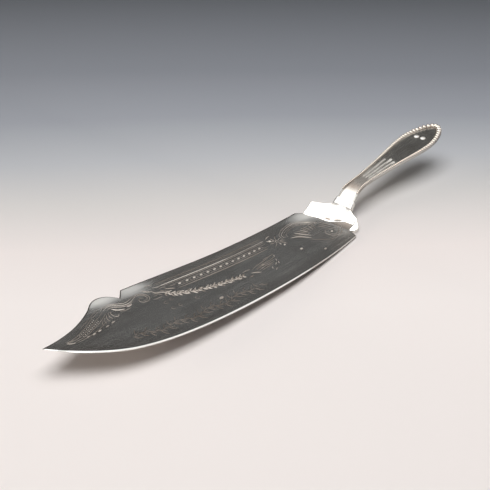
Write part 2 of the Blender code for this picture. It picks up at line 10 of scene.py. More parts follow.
import bmesh
import bpy
import numpy as np
from bpy.props import FloatProperty, PointerProperty, StringProperty
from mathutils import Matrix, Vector


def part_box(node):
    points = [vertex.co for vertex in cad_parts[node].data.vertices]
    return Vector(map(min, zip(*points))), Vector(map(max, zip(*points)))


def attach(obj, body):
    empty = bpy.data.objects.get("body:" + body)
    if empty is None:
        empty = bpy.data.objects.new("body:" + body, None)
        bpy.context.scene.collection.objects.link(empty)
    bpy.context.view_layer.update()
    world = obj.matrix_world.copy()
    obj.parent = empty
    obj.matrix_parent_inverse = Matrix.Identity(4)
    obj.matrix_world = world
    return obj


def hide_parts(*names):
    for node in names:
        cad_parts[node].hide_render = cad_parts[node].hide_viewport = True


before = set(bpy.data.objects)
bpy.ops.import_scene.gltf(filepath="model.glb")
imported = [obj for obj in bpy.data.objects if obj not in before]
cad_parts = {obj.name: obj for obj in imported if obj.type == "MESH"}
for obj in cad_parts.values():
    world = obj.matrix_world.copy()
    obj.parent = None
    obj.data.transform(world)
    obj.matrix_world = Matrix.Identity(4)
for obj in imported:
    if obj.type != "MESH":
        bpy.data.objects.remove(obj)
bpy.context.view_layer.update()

bl_info = {
    "name": "Cake server",
    "version": (1, 0, 0),
    "blender": (4, 5, 0),
    "location": "View3D > Sidebar > Server",
    "description": "Builds the polished and engraved pieces of a silver cake server on its solids",
    "category": "Object",
}

MM = 0.001

# Directions of the outline's curves where they join, as rise over run.
TIP_EDGE_SLOPE = -1.43
TIP_SPINE_SLOPE = 0.108
TURN_SLOPE = -0.364
HEEL_EDGE_SLOPE = 0.158
NOTCH_SLOPE = -1.94
BROW_SLOPE = 0.70
SPINE_END_SLOPE = -0.018
HEEL_SPINE_SLOPE = 0.030
SPINE_LOBE_SLOPE = 0.25
HANDLE_NECK_SLOPE = -0.17

# Fullness of each curve: shares of its run over which it keeps its first and last direction.
NOSE_FULLNESS = (0.18, 0.43)
BELLY_FULLNESS = (0.20, 0.50)
HEEL_FULLNESS = (0.40, 0.30)
TIP_FULLNESS = (0.49, 0.25)
BROW_FULLNESS = (0.38, 0.45)
HUMP_FULLNESS = (0.50, 0.20)
SPINE_FULLNESS = (0.28, 0.43)
LOBE_FULLNESS = (0.38, 0.23)
NECK_FULLNESS = (0.28, 0.36)
STEM_FULLNESS = (0.34, 0.22)
TERMINAL_FULLNESS = (0.33, 0.64)
ROUND_FULLNESS = 0.55
HORN_FULLNESS = 0.47

# Fineness of the surfaces.
CURVE_POINTS = 48
TOP_COLUMNS = 72
BACK_COLUMNS = 12
COLLAR_ROWS, COLLAR_COLUMNS = 15, 96
FACE_COLUMNS, REVERSE_COLUMNS = 96, 24
WIRE_ROWS, WIRE_COLUMNS = 260, 10
BEAD_RINGS, BEAD_COLUMNS = 5, 10
PEARL_RINGS, PEARL_COLUMNS = 12, 40
CORNER_TURN = np.radians([20.0, 45.0, 70.0, 90.0])
EDGE_TURN = np.radians([20.0, 40.0, 60.0, 80.0, 90.0])
REVERSE_TURN = np.radians(np.linspace(0.0, 90.0, 9)[1:])
STATION_STEP = 0.02 * MM
AXIS_STEP = 0.03 * MM
WELD = 1e-7
SHARP_ANGLE = math.radians(32.0)

# Planishing waves: lengths per radian of the crossed and of the slanting ones, and their shares.
WAVE_ALONG, WAVE_ACROSS, WAVE_PHASE = 7.1 * MM, 5.3 * MM, 1.3
SLANT_ALONG, SLANT_ACROSS, SLANT_SHARE = 13.0 * MM, 9.0 * MM, 0.6


def size(label, description, millimetres):
    """Length property, with its default given in millimetres."""
    return FloatProperty(name=label, description=description, default=millimetres * MM,
                         unit="LENGTH", precision=6)


def number(label, description, value):
    """Plain number property, such as a slope, a share or a strength."""
    return FloatProperty(name=label, description=description, default=value, precision=4)


def degrees(label, description, value):
    """Angle property, with its default given in degrees."""
    return FloatProperty(name=label, description=description, default=math.radians(value),
                         subtype="ANGLE", unit="ROTATION")


def tint(label, description, code):
    """Colour property, an sRGB hex value."""
    return StringProperty(name=label, description=description, default=code)


class BladeSizes(bpy.types.PropertyGroup):
    """Sizes of the blade in plan, measured from the long axis of the server."""

    length: size("Length", "From the tip to the heel", 175.2)
    thickness: size("Thickness", "Of the sheet", 1.3)
    tip_thinness: number("Tip thinness", "Thickness at the tip, as a share of the sheet's", 0.15)
    grind: size("Bevel", "Width of the bevel along the cutting edge", 0.40)
    heel_grind: number("Bevel at the heel", "Width there, as a share of the bevel", 0.40)
    edge_height: size("Bevel height", "Height of the bevel along the cutting edge", 0.50)
    lip: size("Lip", "Height of the blunt edge below the bevel", 0.35)
    under_grind: size("Under bevel", "Width of the bevel on the underside of the edge", 1.0)
    spine_round: size("Spine rounding", "Radius of the worn corner of the spine", 0.35)
    tip_y: size("Tip", "Height of the tip above the axis", 8.4)
    turn_from_tip: size("Turn run", "From the tip to the turn of the cutting edge", 30.2)
    turn_y: size("Turn", "Height of the turn", -16.7)
    belly_from_heel: size("Belly run", "From the heel to the lowest point of the edge", 62.2)
    belly_y: size("Belly", "Height of the lowest point of the edge", -24.0)
    heel_belly_y: size("Heel on the edge", "Height of the heel's lower corner", -20.0)
    notch_from_tip: size("Notch run", "From the tip to the notch in the spine", 50.0)
    notch_depth: size("Notch depth", "Below the corner of the spine", 5.5)
    notch_run: size("Notch length", "From the notch to the corner of the spine", 5.0)
    hump_run: size("Hump run", "From the crest of the hump to the notch", 7.8)
    hump_y: size("Hump", "Height of the crest", 26.7)
    brow_run: size("Brow run", "From the brow to the crest", 11.2)
    brow_drop: size("Brow drop", "Of the brow below the crest", 6.8)
    spine_end_y: size("Spine corner", "Height of the corner behind the notch", 25.7)
    heel_spine_y: size("Heel on the spine", "Height of the heel's upper corner", 20.3)
    heel_notch: size("Heel notch", "From the heel to the front of the shoulder", 3.0)
    heel_skew: size("Heel skew", "Shift of the two heel corners along the blade", 1.0)
    heel_lap: size("Heel lap", "Length of the heel under the shoulder", 5.4)
    heel_taper: size("Heel taper", "Length over which the heel narrows to the tang", 3.0)
    tang_width: size("Tang width", "Of the hidden strip in the handle", 4.6)
    tang_length: size("Tang length", "Inside the handle", 36.0)
    waviness: size("Waviness", "Height of the gentle waves left by hand planishing", 0.016)


class ProfileSizes(bpy.types.PropertyGroup):
    """Side profile of the sheet's top face."""

    tip_lift: size("Tip lift", "Of the tip above the resting part", 7.5)
    tip_slope: number("Tip slope", "Of the blade at the tip", -0.085)
    rest_length: size("Resting length", "Flat part of the blade in front of the heel", 50.0)
    neck_rise: size("Neck rise", "From the blade to the collar", 6.6)
    neck_slope: number("Neck slope", "At the collar", 0.98)
    knee_run: size("Knee run", "From the collar to the knee", 5.8)
    knee_rise: size("Knee rise", "From the collar to the knee", 5.4)
    knee_slope: number("Knee slope", "Above the collar", 0.52)
    stem_run: size("Stem run", "From the knee to the stem", 7.6)
    stem_rise: size("Stem rise", "From the knee to the stem", 2.4)
    stem_slope: number("Stem slope", "Where the handle levels out", 0.15)
    handle_rise: size("Handle rise", "From the stem to the end", 11.0)
    end_slope: number("End slope", "At the end of the handle", 0.17)


class ShoulderSizes(bpy.types.PropertyGroup):
    """Sizes of the lobed shoulder between the blade and the neck."""

    front: size("Front", "From the collar to the front of the shoulder", 11.8)
    edge: size("Front edge", "Height of the feathered front edge above the blade", 0.10)
    heel_height: size("Heel height", "Height over the heel of the blade", 1.05)
    feather: size("Feather", "Length over which the front edge rises", 6.5)
    spine_y: size("Front on the spine side", "Half width of the front", 16.6)
    belly_y: size("Front on the edge side", "Half width of the front", -14.6)
    spine_lobe_y: size("Spine lobe", "Reach of the lobe on the spine side", 18.4)
    spine_corner: size("Lobe corner", "From the collar to the corner of that lobe", 3.5)
    corner_drop: size("Corner drop", "Fall of the edge behind that corner", 0.4)
    belly_lobe_y: size("Horn", "Reach of the round horn on the edge side", -17.2)
    horn_run: size("Horn run", "From the front to the widest point of the horn", 2.5)
    lobe_drop: size("Lobe drop", "Of the lobes below the middle", 0.3)
    lobe_thickness: size("Lobe thickness", "Of the plate", 1.6)
    lobe_round: size("Lobe rounding", "Radius of its worn edges", 0.35)
    bite: size("Bite", "Depth of the hollow in the front beside the horn", 4.6)
    bite_start: size("Bite start", "Where the hollow begins", 2.0)
    bite_run: size("Bite run", "Over which the hollow grows to its depth", 11.0)
    bite_end: size("Bite end", "Where the hollow meets the tip of the horn", -12.7)
    lean: size("Lean", "Of the front towards the tip of the blade, on the spine side", 1.2)
    neck_fillet: size("Neck fillet", "Curve from the lobes into the neck", 2.7)
    neck_width: size("Neck width", "At the collar", 12.2)
    neck_top: size("Neck top", "Height of the neck above the sheet", 1.7)
    neck_crown: size("Neck crown", "Fall of the neck's top towards its sides", 0.9)


class CollarSizes(bpy.types.PropertyGroup):
    """Sizes of the proud band round the neck."""

    length: size("Length", "Along the neck", 2.6)
    width: size("Width", "Across the neck", 13.0)
    proud: size("Proud", "Above the neck", 0.14)
    swell: size("Swell", "Of its middle over its rims", 0.10)
    squareness: number("Squareness", "Exponent of its rounded section", 3.2)


class HandleSizes(bpy.types.PropertyGroup):
    """Sizes of the handle's two halves."""

    gap: size("Gap", "Between pieces that touch", 0.3)
    length: size("Length", "From the collar to the end", 90.1)
    neck_width: size("Neck width", "At the collar", 11.6)
    waist_width: size("Waist width", "At the narrowest place", 9.0)
    waist_from_neck: size("Waist run", "From the neck to the waist", 12.6)
    terminal_width: size("Terminal width", "At the widest place", 20.5)
    terminal_from_end: size("Terminal run", "From the widest place to the end", 22.5)
    face_height: size("Face height", "Of the face above the tang", 0.95)
    sunk: size("Sunk", "Depth of the polished face below that height", 0.70)
    edge_round: size("Edge rounding", "Radius of the worn edge", 1.10)
    back_cover_neck: size("Back at the neck", "Thickness under the tang at the neck", 1.2)
    back_cover_end: size("Back at the end", "Thickness under the tang at the end", 0.3)
    back_round: size("Back rounding", "Width of the rounding of the back", 2.2)
    back_wall: size("Back wall", "Straight wall at the seam", 0.3)


class BorderSizes(bpy.types.PropertyGroup):
    """Sizes of the beaded border."""

    end_radius: size("End bead", "Half width of the largest bead", 1.95)
    neck_radius: size("Neck bead", "Half width of the smallest bead", 0.64)
    growth: number("Growth", "Power by which the beads grow towards the end", 2.3)
    squash: number("Squash", "Length of a bead along the border, as a share of its width", 0.80)
    sink: number("Sink", "Of the beads into the ledge, as a share of their radius", 0.45)
    start: size("Start", "From the collar to the first bead", 3.5)
    inset: size("Inset", "Of the beads from the edge, below 0 where they stand over it", -0.30)
    wire: number("Wire", "Radius of the wire between beads, as a share of theirs", 0.50)
    fill: number("Fill", "Size of a bead, as a share of its place", 0.95)


class ReedSizes(bpy.types.PropertyGroup):
    """Sizes of the three reeds that fan out along the stem."""

    from_waist: size("Start", "From the waist", 6.0)
    spread: number("Spread", "Of the outer reeds, as a share of the face's half width", 0.56)
    middle_length: size("Middle length", "Of the middle reed", 24.8)
    side_length: size("Side length", "Of the outer reeds", 23.0)
    radius: size("Full radius", "At the round nose", 0.90)
    thin_radius: size("Thin radius", "At the waist", 0.35)
    height: size("Height", "At the round nose", 0.75)
    nose: size("Nose", "Length of the round nose", 2.2)


class PearlSizes(bpy.types.PropertyGroup):
    """Sizes of the two pearls near the end of the handle."""

    radius: size("Radius", "Of a pearl", 1.6)
    height: size("Height", "Of a pearl above the face", 0.6)
    gap: size("Gap", "Between the pearls", 1.1)
    from_end: size("From the end", "Of the pair", 17.6)
    shift: size("Shift", "Of the pair towards the spine side", 0.8)


class EngravingSizes(bpy.types.PropertyGroup):
    """Sizes of the engraved cuts and of the bands that follow the spine."""

    bold: size("Bold cut", "Width of the main cuts", 0.42)
    fine: size("Fine cut", "Width of the light cuts", 0.31)
    hair: size("Hair cut", "Width of the hatching", 0.23)
    rim: number("Rim", "Height of a cut's raised rims, as a share of its width", 0.20)
    hatch_offset: size("Hatching", "Of the hatched band below the spine", 5.9)
    hatch_width: size("Hatching width", "Across the hatched band", 2.1)
    hatch_pitch: size("Hatching pitch", "Between its cuts", 1.9)
    line_offset: size("Double line", "Of the double line below the spine", 8.8)
    line_gap: size("Line gap", "Between the two lines", 1.1)
    dash_offset: size("Dashes", "Of the chain of dashes below the spine", 12.9)
    dash_length: size("Dash length", "Of one dash", 2.0)
    dash_width: size("Dash width", "Of one dash", 1.1)
    low_offset: size("Lower line", "Of the lower line below the spine", 15.8)
    branch_offset: size("Branch", "Of the leafy branch above the cutting edge", 8.6)
    branch_wave: size("Branch wave", "Height of its waves", 1.3)
    branch_length: size("Branch wave length", "From wave to wave", 18.0)


class SilverFinish(bpy.types.PropertyGroup):
    """Colours and polish of the silver."""

    blade_colour: tint("Blade", "Polished sheet of the blade", "#DAD8D4")
    handle_colour: tint("Handle", "Polished faces of the handle", "#D6D4CE")
    bright_colour: tint("Bright parts", "Shoulder, collar, beads and pearls", "#F0EEE9")
    tarnish_colour: tint("Tarnish", "Brown film on plain bands and in the cuts", "#74675C")
    blade_roughness: number("Blade polish", "Roughness of the blade", 0.17)
    handle_roughness: number("Handle polish", "Roughness of the handle", 0.15)
    bright_roughness: number("Bright polish", "Roughness of the bright parts", 0.12)
    cut_colour: tint("Engraved cuts", "Bare silver in the cuts", "#E4DCD3")
    cut_roughness: number("Cut polish", "Roughness of the engraved cuts", 0.55)
    bead_colour: tint("Beads", "Beads of the border", "#EFE6DB")
    bead_roughness: number("Bead polish", "Roughness of the beads", 0.24)
    pearl_colour: tint("Pearls", "Pearls, matted by wear", "#ECE9E4")
    pearl_roughness: number("Pearl polish", "Roughness of the pearls", 0.30)
    worn_roughness: number("Worn haze", "Roughness added where the silver is rubbed", 0.40)
    scratch: size("Scratch spacing", "Between polishing scratches, coarser than real ones", 1.3)
    cloud: size("Cloud size", "Of the faint clouds of tarnish", 16.0)


class StudioSettings(bpy.types.PropertyGroup):
    """Camera, lights and backdrop."""

    azimuth: degrees("Azimuth", "Of the camera round the server", -47.4)
    elevation: degrees("Elevation", "Of the camera above the floor", 29.0)
    distance: size("Distance", "From the camera to the middle of the picture", 437.2)
    target_x: size("Target x", "Middle of the picture on the floor", -10.5)
    target_y: size("Target y", "Middle of the picture on the floor", 16.1)
    lens: number("Lens", "Focal length in millimetres on a 36 mm sensor", 62.45)
    # The floor's colours darken towards the back: painted shade for the fall-off of the light.
    near_colour: tint("Near floor", "Cream paper in the foreground", "#F1EAE7")
    middle_colour: tint("Middle floor", "Paper under the blade", "#EBE3E0")
    turn_colour: tint("Turning floor", "Paper where it begins to darken", "#D3D0CE")
    shaded_colour: tint("Shaded floor", "Paper behind the shoulder", "#B7B9BD")
    far_colour: tint("Far floor", "Paper behind the handle", "#9A9DA4")
    dusk_colour: tint("Dusky floor", "Paper in the upper part of the picture", "#84878E")
    deep_colour: tint("Deep floor", "Darkest part of the paper", "#64676C")
    sag: size("Sag", "Of the paper under the blade", 3.4)
    rise: size("Rise", "Of the paper under the handle", 5.6)
    sag_length: size("Sag length", "Over which the paper sags", 50.0)
    sag_middle: size("Sag middle", "Where the server touches the paper", -10.0)
    sky: number("Surroundings", "Brightness of the dim room", 0.10)
    lamp: number("Lamp", "Radiance of the soft lamp overhead", 3.15)
    ceiling: number("Ceiling", "Radiance of the wide panel overhead that the polish mirrors", 1.15)
    panel: number("Panels", "Radiance of the white panels that the polish mirrors", 1.3)
    fill: number("Fill", "Radiance of the low lamp that lightens the shadow of the blade", 11.0)
    fill_colour: tint("Fill colour", "Warm light of the low lamp", "#FFF3E6")


class ServerSettings(bpy.types.PropertyGroup):
    """All sizes and finishes of the cake server."""

    blade: PointerProperty(type=BladeSizes)
    profile: PointerProperty(type=ProfileSizes)
    shoulder: PointerProperty(type=ShoulderSizes)
    collar: PointerProperty(type=CollarSizes)
    handle: PointerProperty(type=HandleSizes)
    border: PointerProperty(type=BorderSizes)
    reeds: PointerProperty(type=ReedSizes)
    pearls: PointerProperty(type=PearlSizes)
    engraving: PointerProperty(type=EngravingSizes)
    finish: PointerProperty(type=SilverFinish)
    studio: PointerProperty(type=StudioSettings)


def smooth(value):
    """Smooth step 3t^2 - 2t^3 of the value held between 0 and 1."""
    value = np.clip(value, 0.0, 1.0)
    return value * value * (3.0 - 2.0 * value)


def mix(start, end, share):
    """Straight blend from start to end."""
    return start + (end - start) * share


def ramp(place, start, run):
    """Smooth step from 0 at start to 1 a run farther on, with start and run in millimetres."""
    return smooth((place / MM - start) / run)


def patches(x, y, rows):
    """Sum of soft patches strength * exp(-(dx / reach_x)^2 - (dy / reach_y)^2), in millimetres."""
    return sum(strength * np.exp(-((x / MM - x0) / reach_x) ** 2 - ((y / MM - y0) / reach_y) ** 2)
               for strength, x0, y0, reach_x, reach_y in rows)


def hermite(at, knots, values, slopes):
    """Value and slope, at the given places, of the cubics that join knots with given slopes."""
    i = np.clip(np.searchsorted(knots, at) - 1, 0, len(knots) - 2)
    run = knots[i + 1] - knots[i]
    t = np.clip((at - knots[i]) / run, 0.0, 1.0)
    first, last = values[i], values[i + 1]
    out, into = slopes[i], slopes[i + 1]
    value = (first * (1 + 2 * t) * (1 - t) ** 2 + last * t * t * (3 - 2 * t)
             + run * (out * t * (1 - t) ** 2 + into * t * t * (t - 1)))
    slope = (6 * t * (1 - t) * (last - first) / run
             + out * (1 - t) * (1 - 3 * t) + into * t * (3 * t - 2))
    beyond = at - np.clip(at, knots[0], knots[-1])
    return value + slope * beyond, slope


def bezier(p0, p1, p2, p3, count=CURVE_POINTS):
    """Cubic curve whose corners weigh (1-t)^3, 3t(1-t)^2, 3t^2(1-t) and t^3."""
    t = np.linspace(0.0, 1.0, count + 1)[:, None]
    corners = [np.array(p, float) for p in (p0, p1, p2, p3)]
    weights = ((1 - t) ** 3, 3 * t * (1 - t) ** 2, 3 * t * t * (1 - t), t ** 3)
    return sum(weight * corner for weight, corner in zip(weights, corners))


def sweep(start, first_slope, end, last_slope, fullness, count=CURVE_POINTS):
    """Curve in plan that leaves start and reaches end with the given slopes."""
    run = end[0] - start[0]
    first = fullness[0] * run
    last = fullness[1] * run
    return bezier(start, (start[0] + first, start[1] + first_slope * first),
                  (end[0] - last, end[1] - last_slope * last), end, count)


def chain(*runs):
    """One line of points from several runs that share their end points."""
    return np.concatenate([np.asarray(runs[0])] + [np.asarray(run)[1:] for run in runs[1:]])


def y_at(line, x):
    """y of a line of points, which rises in x, at x."""
    return np.interp(x, line[:, 0], line[:, 1])


def stations(*runs):
    """Rising x of several runs, as a column, without those that all but coincide."""
    x = np.unique(np.concatenate(runs))
    return x[np.concatenate([[True], np.diff(x) > STATION_STEP])][:, None]


def lengths(line):
    """Length along a line of points, from its start to each point."""
    return np.concatenate([[0.0], np.cumsum(np.hypot(*np.diff(line, axis=0).T))])


def directions(line, axis=0):
    """Unit vectors along a line of points."""
    along = np.gradient(line, axis=axis)
    return along / np.linalg.norm(along, axis=-1, keepdims=True)


def headings(line):
    """Directions along a line of points, in degrees."""
    return np.degrees(np.arctan2(*np.gradient(line, axis=0).T[::-1]))


def ring_angles(count):
    """Angles of the points of a closed ring."""
    return np.linspace(0.0, 2 * np.pi, count, endpoint=False)


class Layout:
    """Flat layout of the server, and the bend that gives it its side profile."""

    def __init__(self, context):
        self.all = context.scene.cake_server
        blade, shoulder, handle = self.all.blade, self.all.shoulder, self.all.handle
        profile, collar = self.all.profile, self.all.collar
        self.front = -shoulder.front
        self.heel = self.front - blade.heel_notch
        self.tip = self.heel - blade.length
        self.heel_back = self.front + blade.heel_lap
        self.handle_x = collar.length + handle.gap
        self.end = self.handle_x + handle.length
        self.tang_end = self.handle_x + blade.tang_length
        self.terminal = self.end - handle.terminal_from_end
        neck = collar.length / 2
        knee = neck + profile.knee_run
        self.stem = knee + profile.stem_run
        neck_z = blade.thickness + profile.neck_rise
        knee_z = neck_z + profile.knee_rise
        stem_z = knee_z + profile.stem_rise
        self.knots = np.array([
            (self.tip, blade.thickness + profile.tip_lift, profile.tip_slope),
            (self.heel - profile.rest_length, blade.thickness, 0.0),
            (self.heel, blade.thickness, 0.0),
            (neck, neck_z, profile.neck_slope),
            (knee, knee_z, profile.knee_slope),
            (self.stem, stem_z, profile.stem_slope),
            (self.end, stem_z + profile.handle_rise, profile.end_slope),
        ])
        # Shift that sets the tip and the hump on the box of the CAD blade.
        self.stand = np.zeros(3)
        low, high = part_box("blade")
        point = self.bend(self.tip, blade.tip_y, -blade.thickness)
        self.stand = np.array([low[0] - point[0], high[1] - blade.hump_y, 0.0])

    def bend(self, x, y, h):
        """Place of layout points: h is set off square to the side profile at x."""
        x, y, h = np.broadcast_arrays(np.asarray(x, float), y, h)
        z, slope = hermite(x, *self.knots.T)
        length = np.hypot(1.0, slope)
        return np.stack([x - h * slope / length, y, z + h / length], axis=-1) + self.stand

    def sheet(self, x, y):
        """Height of the blade's top face: crossed sine waves a few hundredths of a mm high."""
        wave = np.sin(x / WAVE_ALONG + WAVE_PHASE) * np.cos(y / WAVE_ACROSS)
        wave = wave + SLANT_SHARE * np.sin(x / SLANT_ALONG - y / SLANT_ACROSS)
        return self.all.blade.waviness * wave

    def belly_line(self):
        """Cutting edge in plan, from the tip to the heel and along the tang."""
        s = self.all.blade
        tip = (self.tip, s.tip_y)
        turn = (self.tip + s.turn_from_tip, s.turn_y)
        deep = (self.heel - s.belly_from_heel, s.belly_y)
        heel = (self.heel + s.heel_skew, s.heel_belly_y)
        return chain(
            sweep(tip, TIP_EDGE_SLOPE, turn, TURN_SLOPE, NOSE_FULLNESS),
            sweep(turn, TURN_SLOPE, deep, 0.0, BELLY_FULLNESS),
            sweep(deep, 0.0, heel, HEEL_EDGE_SLOPE, HEEL_FULLNESS),
            self.heel_run(heel, self.all.shoulder.belly_y, -1.0),
        )

    def spine_line(self):
        """Spine in plan, from the tip over the hump and the notch to the heel and the tang."""
        s = self.all.blade
        tip = (self.tip, s.tip_y)
        notch = (self.tip + s.notch_from_tip, s.spine_end_y - s.notch_depth)
        corner = (notch[0] + s.notch_run, s.spine_end_y)
        crest = (notch[0] - s.hump_run, s.hump_y)
        brow = (crest[0] - s.brow_run, s.hump_y - s.brow_drop)
        heel = (self.heel - s.heel_skew, s.heel_spine_y)
        return chain(
            sweep(tip, TIP_SPINE_SLOPE, brow, BROW_SLOPE, TIP_FULLNESS),
            sweep(brow, BROW_SLOPE, crest, 0.0, BROW_FULLNESS),
            sweep(crest, 0.0, notch, NOTCH_SLOPE, HUMP_FULLNESS),
            [notch, corner],
            sweep(corner, SPINE_END_SLOPE, heel, HEEL_SPINE_SLOPE, SPINE_FULLNESS),
            self.heel_run(heel, self.all.shoulder.spine_y, 1.0),
        )

    def heel_run(self, corner, shoulder_y, side):
        """From a heel corner round the notch at the shoulder to the end of the tang."""
        s = self.all.blade
        half = side * s.tang_width / 2
        inner = shoulder_y - side * 2 * self.all.handle.gap
        return [corner, (self.front, inner), (self.heel_back, inner),
                (self.heel_back + s.heel_taper, half), (self.tang_end, half)]

    def lobe_lines(self):
        """Outer edges of the shoulder in plan, belly side and spine side, front to neck."""
        s = self.all.shoulder
        neck = s.neck_width / 2
        corner = (-s.spine_corner, s.spine_lobe_y)
        horn = (self.front + s.horn_run, s.belly_lobe_y)
        spine = chain(
            sweep((self.front, s.spine_y), SPINE_LOBE_SLOPE, corner, 0.0, LOBE_FULLNESS),
            bezier(corner, (-s.neck_fillet, s.spine_lobe_y - s.corner_drop),
                   (-s.neck_fillet, neck + s.neck_fillet), (0.0, neck)),
        )
        belly = chain(
            bezier((self.front, s.belly_y),
                   (self.front, mix(s.belly_y, s.belly_lobe_y, ROUND_FULLNESS)),
                   (mix(horn[0], self.front, ROUND_FULLNESS), s.belly_lobe_y), horn),
            bezier(horn, (mix(horn[0], 0.0, HORN_FULLNESS), s.belly_lobe_y),
                   (-s.neck_fillet, -neck - s.neck_fillet), (0.0, -neck)),
        )
        return belly, spine

    def handle_line(self):
        """Edge of the handle on the spine side in plan, from the neck to the end on the axis."""
        s = self.all.handle
        wide = s.terminal_width / 2
        waist = (self.handle_x + s.waist_from_neck, s.waist_width / 2)
        run, rise = TERMINAL_FULLNESS
        return chain(
            sweep((self.handle_x, s.neck_width / 2), HANDLE_NECK_SLOPE, waist, 0.0, NECK_FULLNESS),
            sweep(waist, 0.0, (self.terminal, wide), 0.0, STEM_FULLNESS, 2 * CURVE_POINTS),
            bezier((self.terminal, wide), (self.terminal + run * s.terminal_from_end, wide),
                   (self.end, rise * wide), (self.end, 0.0), 2 * CURVE_POINTS),
        )

    def bead_radius(self, x):
        """Radius of the border's beads, growing from the neck to the end of the handle."""
        s = self.all.border
        share = np.clip((x - self.handle_x) / (self.end - self.handle_x), 0.0, 1.0)
        return mix(s.neck_radius, s.end_radius, share ** s.growth)

    def ledge_width(self, x):
        """Width of the ledge that carries the border."""
        return 2 * self.bead_radius(x) + self.all.border.inset + self.all.handle.gap

    def handle_half(self, rings, flat, columns):
        """Closed surface of one half of the handle.

        rings holds functions of x for the inset from the edge and the height, from the seam to
        the flat. The rings of both sides and the flat between them form one loop at each point
        of the edge. Where the edge reaches the axis the two sides meet.
        """
        line = self.handle_line()
        x, y = line.T
        along = directions(line)
        along[0], along[-1] = (1.0, 0.0), (0.0, -1.0)
        places = []
        for inset, height in rings:
            ring_x = x + along[:, 1] * inset(x)
            ring_y = y - along[:, 0] * inset(x)
            ring_y = np.where(ring_y > AXIS_STEP, ring_y, 0.0)
            places.append((ring_x, ring_y, height(x) + 0.0 * x))
        inner_x, inner_y, _ = places[-1]
        across = np.linspace(-1.0, 1.0, columns + 2)[1:-1]
        flat_x = np.repeat(inner_x[:, None], columns, axis=1)
        flat_y = inner_y[:, None] * across
        belly = [(px, -py, ph) for px, py, ph in places]
        loop = [np.stack(p, axis=-1)[:, None] for p in belly]
        loop.append(np.stack([flat_x, flat_y, flat(flat_x, flat_y)], axis=-1))
        loop += [np.stack(p, axis=-1)[:, None] for p in reversed(places)]
        return np.concatenate(loop, axis=1)


def add_poles(grid, first=True, last=True):
    """Grid with the middle of its first and its last row added as a pole."""
    rows = [grid]
    if first:
        middle = grid[..., :1, :, :].mean(axis=-2, keepdims=True)
        rows.insert(0, np.broadcast_to(middle, grid[..., :1, :, :].shape))
    if last:
        middle = grid[..., -1:, :, :].mean(axis=-2, keepdims=True)
        rows.append(np.broadcast_to(middle, grid[..., -1:, :, :].shape))
    return np.concatenate(rows, axis=-3)


def make_piece(name, surfaces, material, replaced=(), marks=None):
    """Object from grids of points (bodies, rows, columns, 3) whose columns run round and close.

    Neighbouring rows and columns span the faces. Corners that coincide are merged, so poles and
    seams close, and faces are turned outwards. marks gives point attributes of the first grid.
    """
    corners, points, total = [], [], 0
    for grid in surfaces:
        grid = grid.reshape((-1,) + grid.shape[-3:])
        bodies, rows, columns, _ = grid.shape
        body = np.arange(bodies)[:, None, None] * rows * columns + total
        row = np.arange(rows - 1)[None, :, None] * columns
        column = np.arange(columns)[None, None, :]
        following = (column + 1) % columns
        base = body + row
        quads = np.stack([base + column, base + following, base + columns + following,
                          base + columns + column], axis=-1)
        corners.append(quads.reshape(-1, 4))
        points.append(grid.reshape(-1, 3))
        total += bodies * rows * columns
    points = np.concatenate(points)
    corners = np.concatenate(corners)
    mesh = bpy.data.meshes.new(name)
    mesh.vertices.add(len(points))
    mesh.vertices.foreach_set("co", points.ravel().astype(np.float32))
    mesh.loops.add(corners.size)
    mesh.loops.foreach_set("vertex_index", corners.ravel().astype(np.int32))
    mesh.polygons.add(len(corners))
    mesh.polygons.foreach_set("loop_start", np.arange(0, corners.size, 4, dtype=np.int32))
    for mark, values in (marks or {}).items():
        layer = mesh.attributes.new(mark, "FLOAT", "POINT")
        filled = np.zeros(len(points), np.float32)
        filled[:values.size] = values.ravel()
        layer.data.foreach_set("value", filled)
    mesh.update(calc_edges=True)
    bm = bmesh.new()
    bm.from_mesh(mesh)
    bmesh.ops.remove_doubles(bm, verts=bm.verts, dist=WELD)
    bmesh.ops.dissolve_degenerate(bm, edges=bm.edges, dist=WELD)
    bmesh.ops.recalc_face_normals(bm, faces=bm.faces)
    bm.to_mesh(mesh)
    bm.free()
    mesh.shade_smooth()
    mesh.set_sharp_from_angle(angle=SHARP_ANGLE)
    mesh.materials.append(material)
    piece = bpy.data.objects.new(name, mesh)
    bpy.context.scene.collection.objects.link(piece)
    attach(piece, "root")
    if replaced:
        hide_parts(*replaced)
    return piece


def linear(code):
    """Linear colour with alpha from an sRGB hex value."""
    parts = [int(code[i:i + 2], 16) / 255 for i in (1, 3, 5)]
    return tuple(p / 12.92 if p <= 0.04045 else ((p + 0.055) / 1.055) ** 2.4 for p in parts) + (1.0,)


def add_node(tree, kind, sockets=None, **settings):
    """Add a node with its settings; a socket is given a value, or another node's output to link."""
    node = tree.nodes.new(kind)
    for key, value in settings.items():
        setattr(node, key, value)
    for key, value in (sockets or {}).items():
        if isinstance(value, bpy.types.NodeSocket):
            tree.links.new(value, node.inputs[key])
        else:
            node.inputs[key].default_value = value
    return node


# Patterns of the silver: noise over which the clouds of tarnish grow, and their strongest film;
# noise over which the scratches roughen the polish, and by what shares; their stretch along the
# piece, their strength and their depth.
CLOUD_SPAN, CLOUD_FILM = (0.5, 0.8), 0.22
STREAK_SPAN, STREAK_SHARES = (0.3, 0.75), (0.82, 1.3)
STREAK_STRETCH, SCRATCH_STRENGTH, SCRATCH_DEPTH = 0.03, 0.10, 0.02 * MM


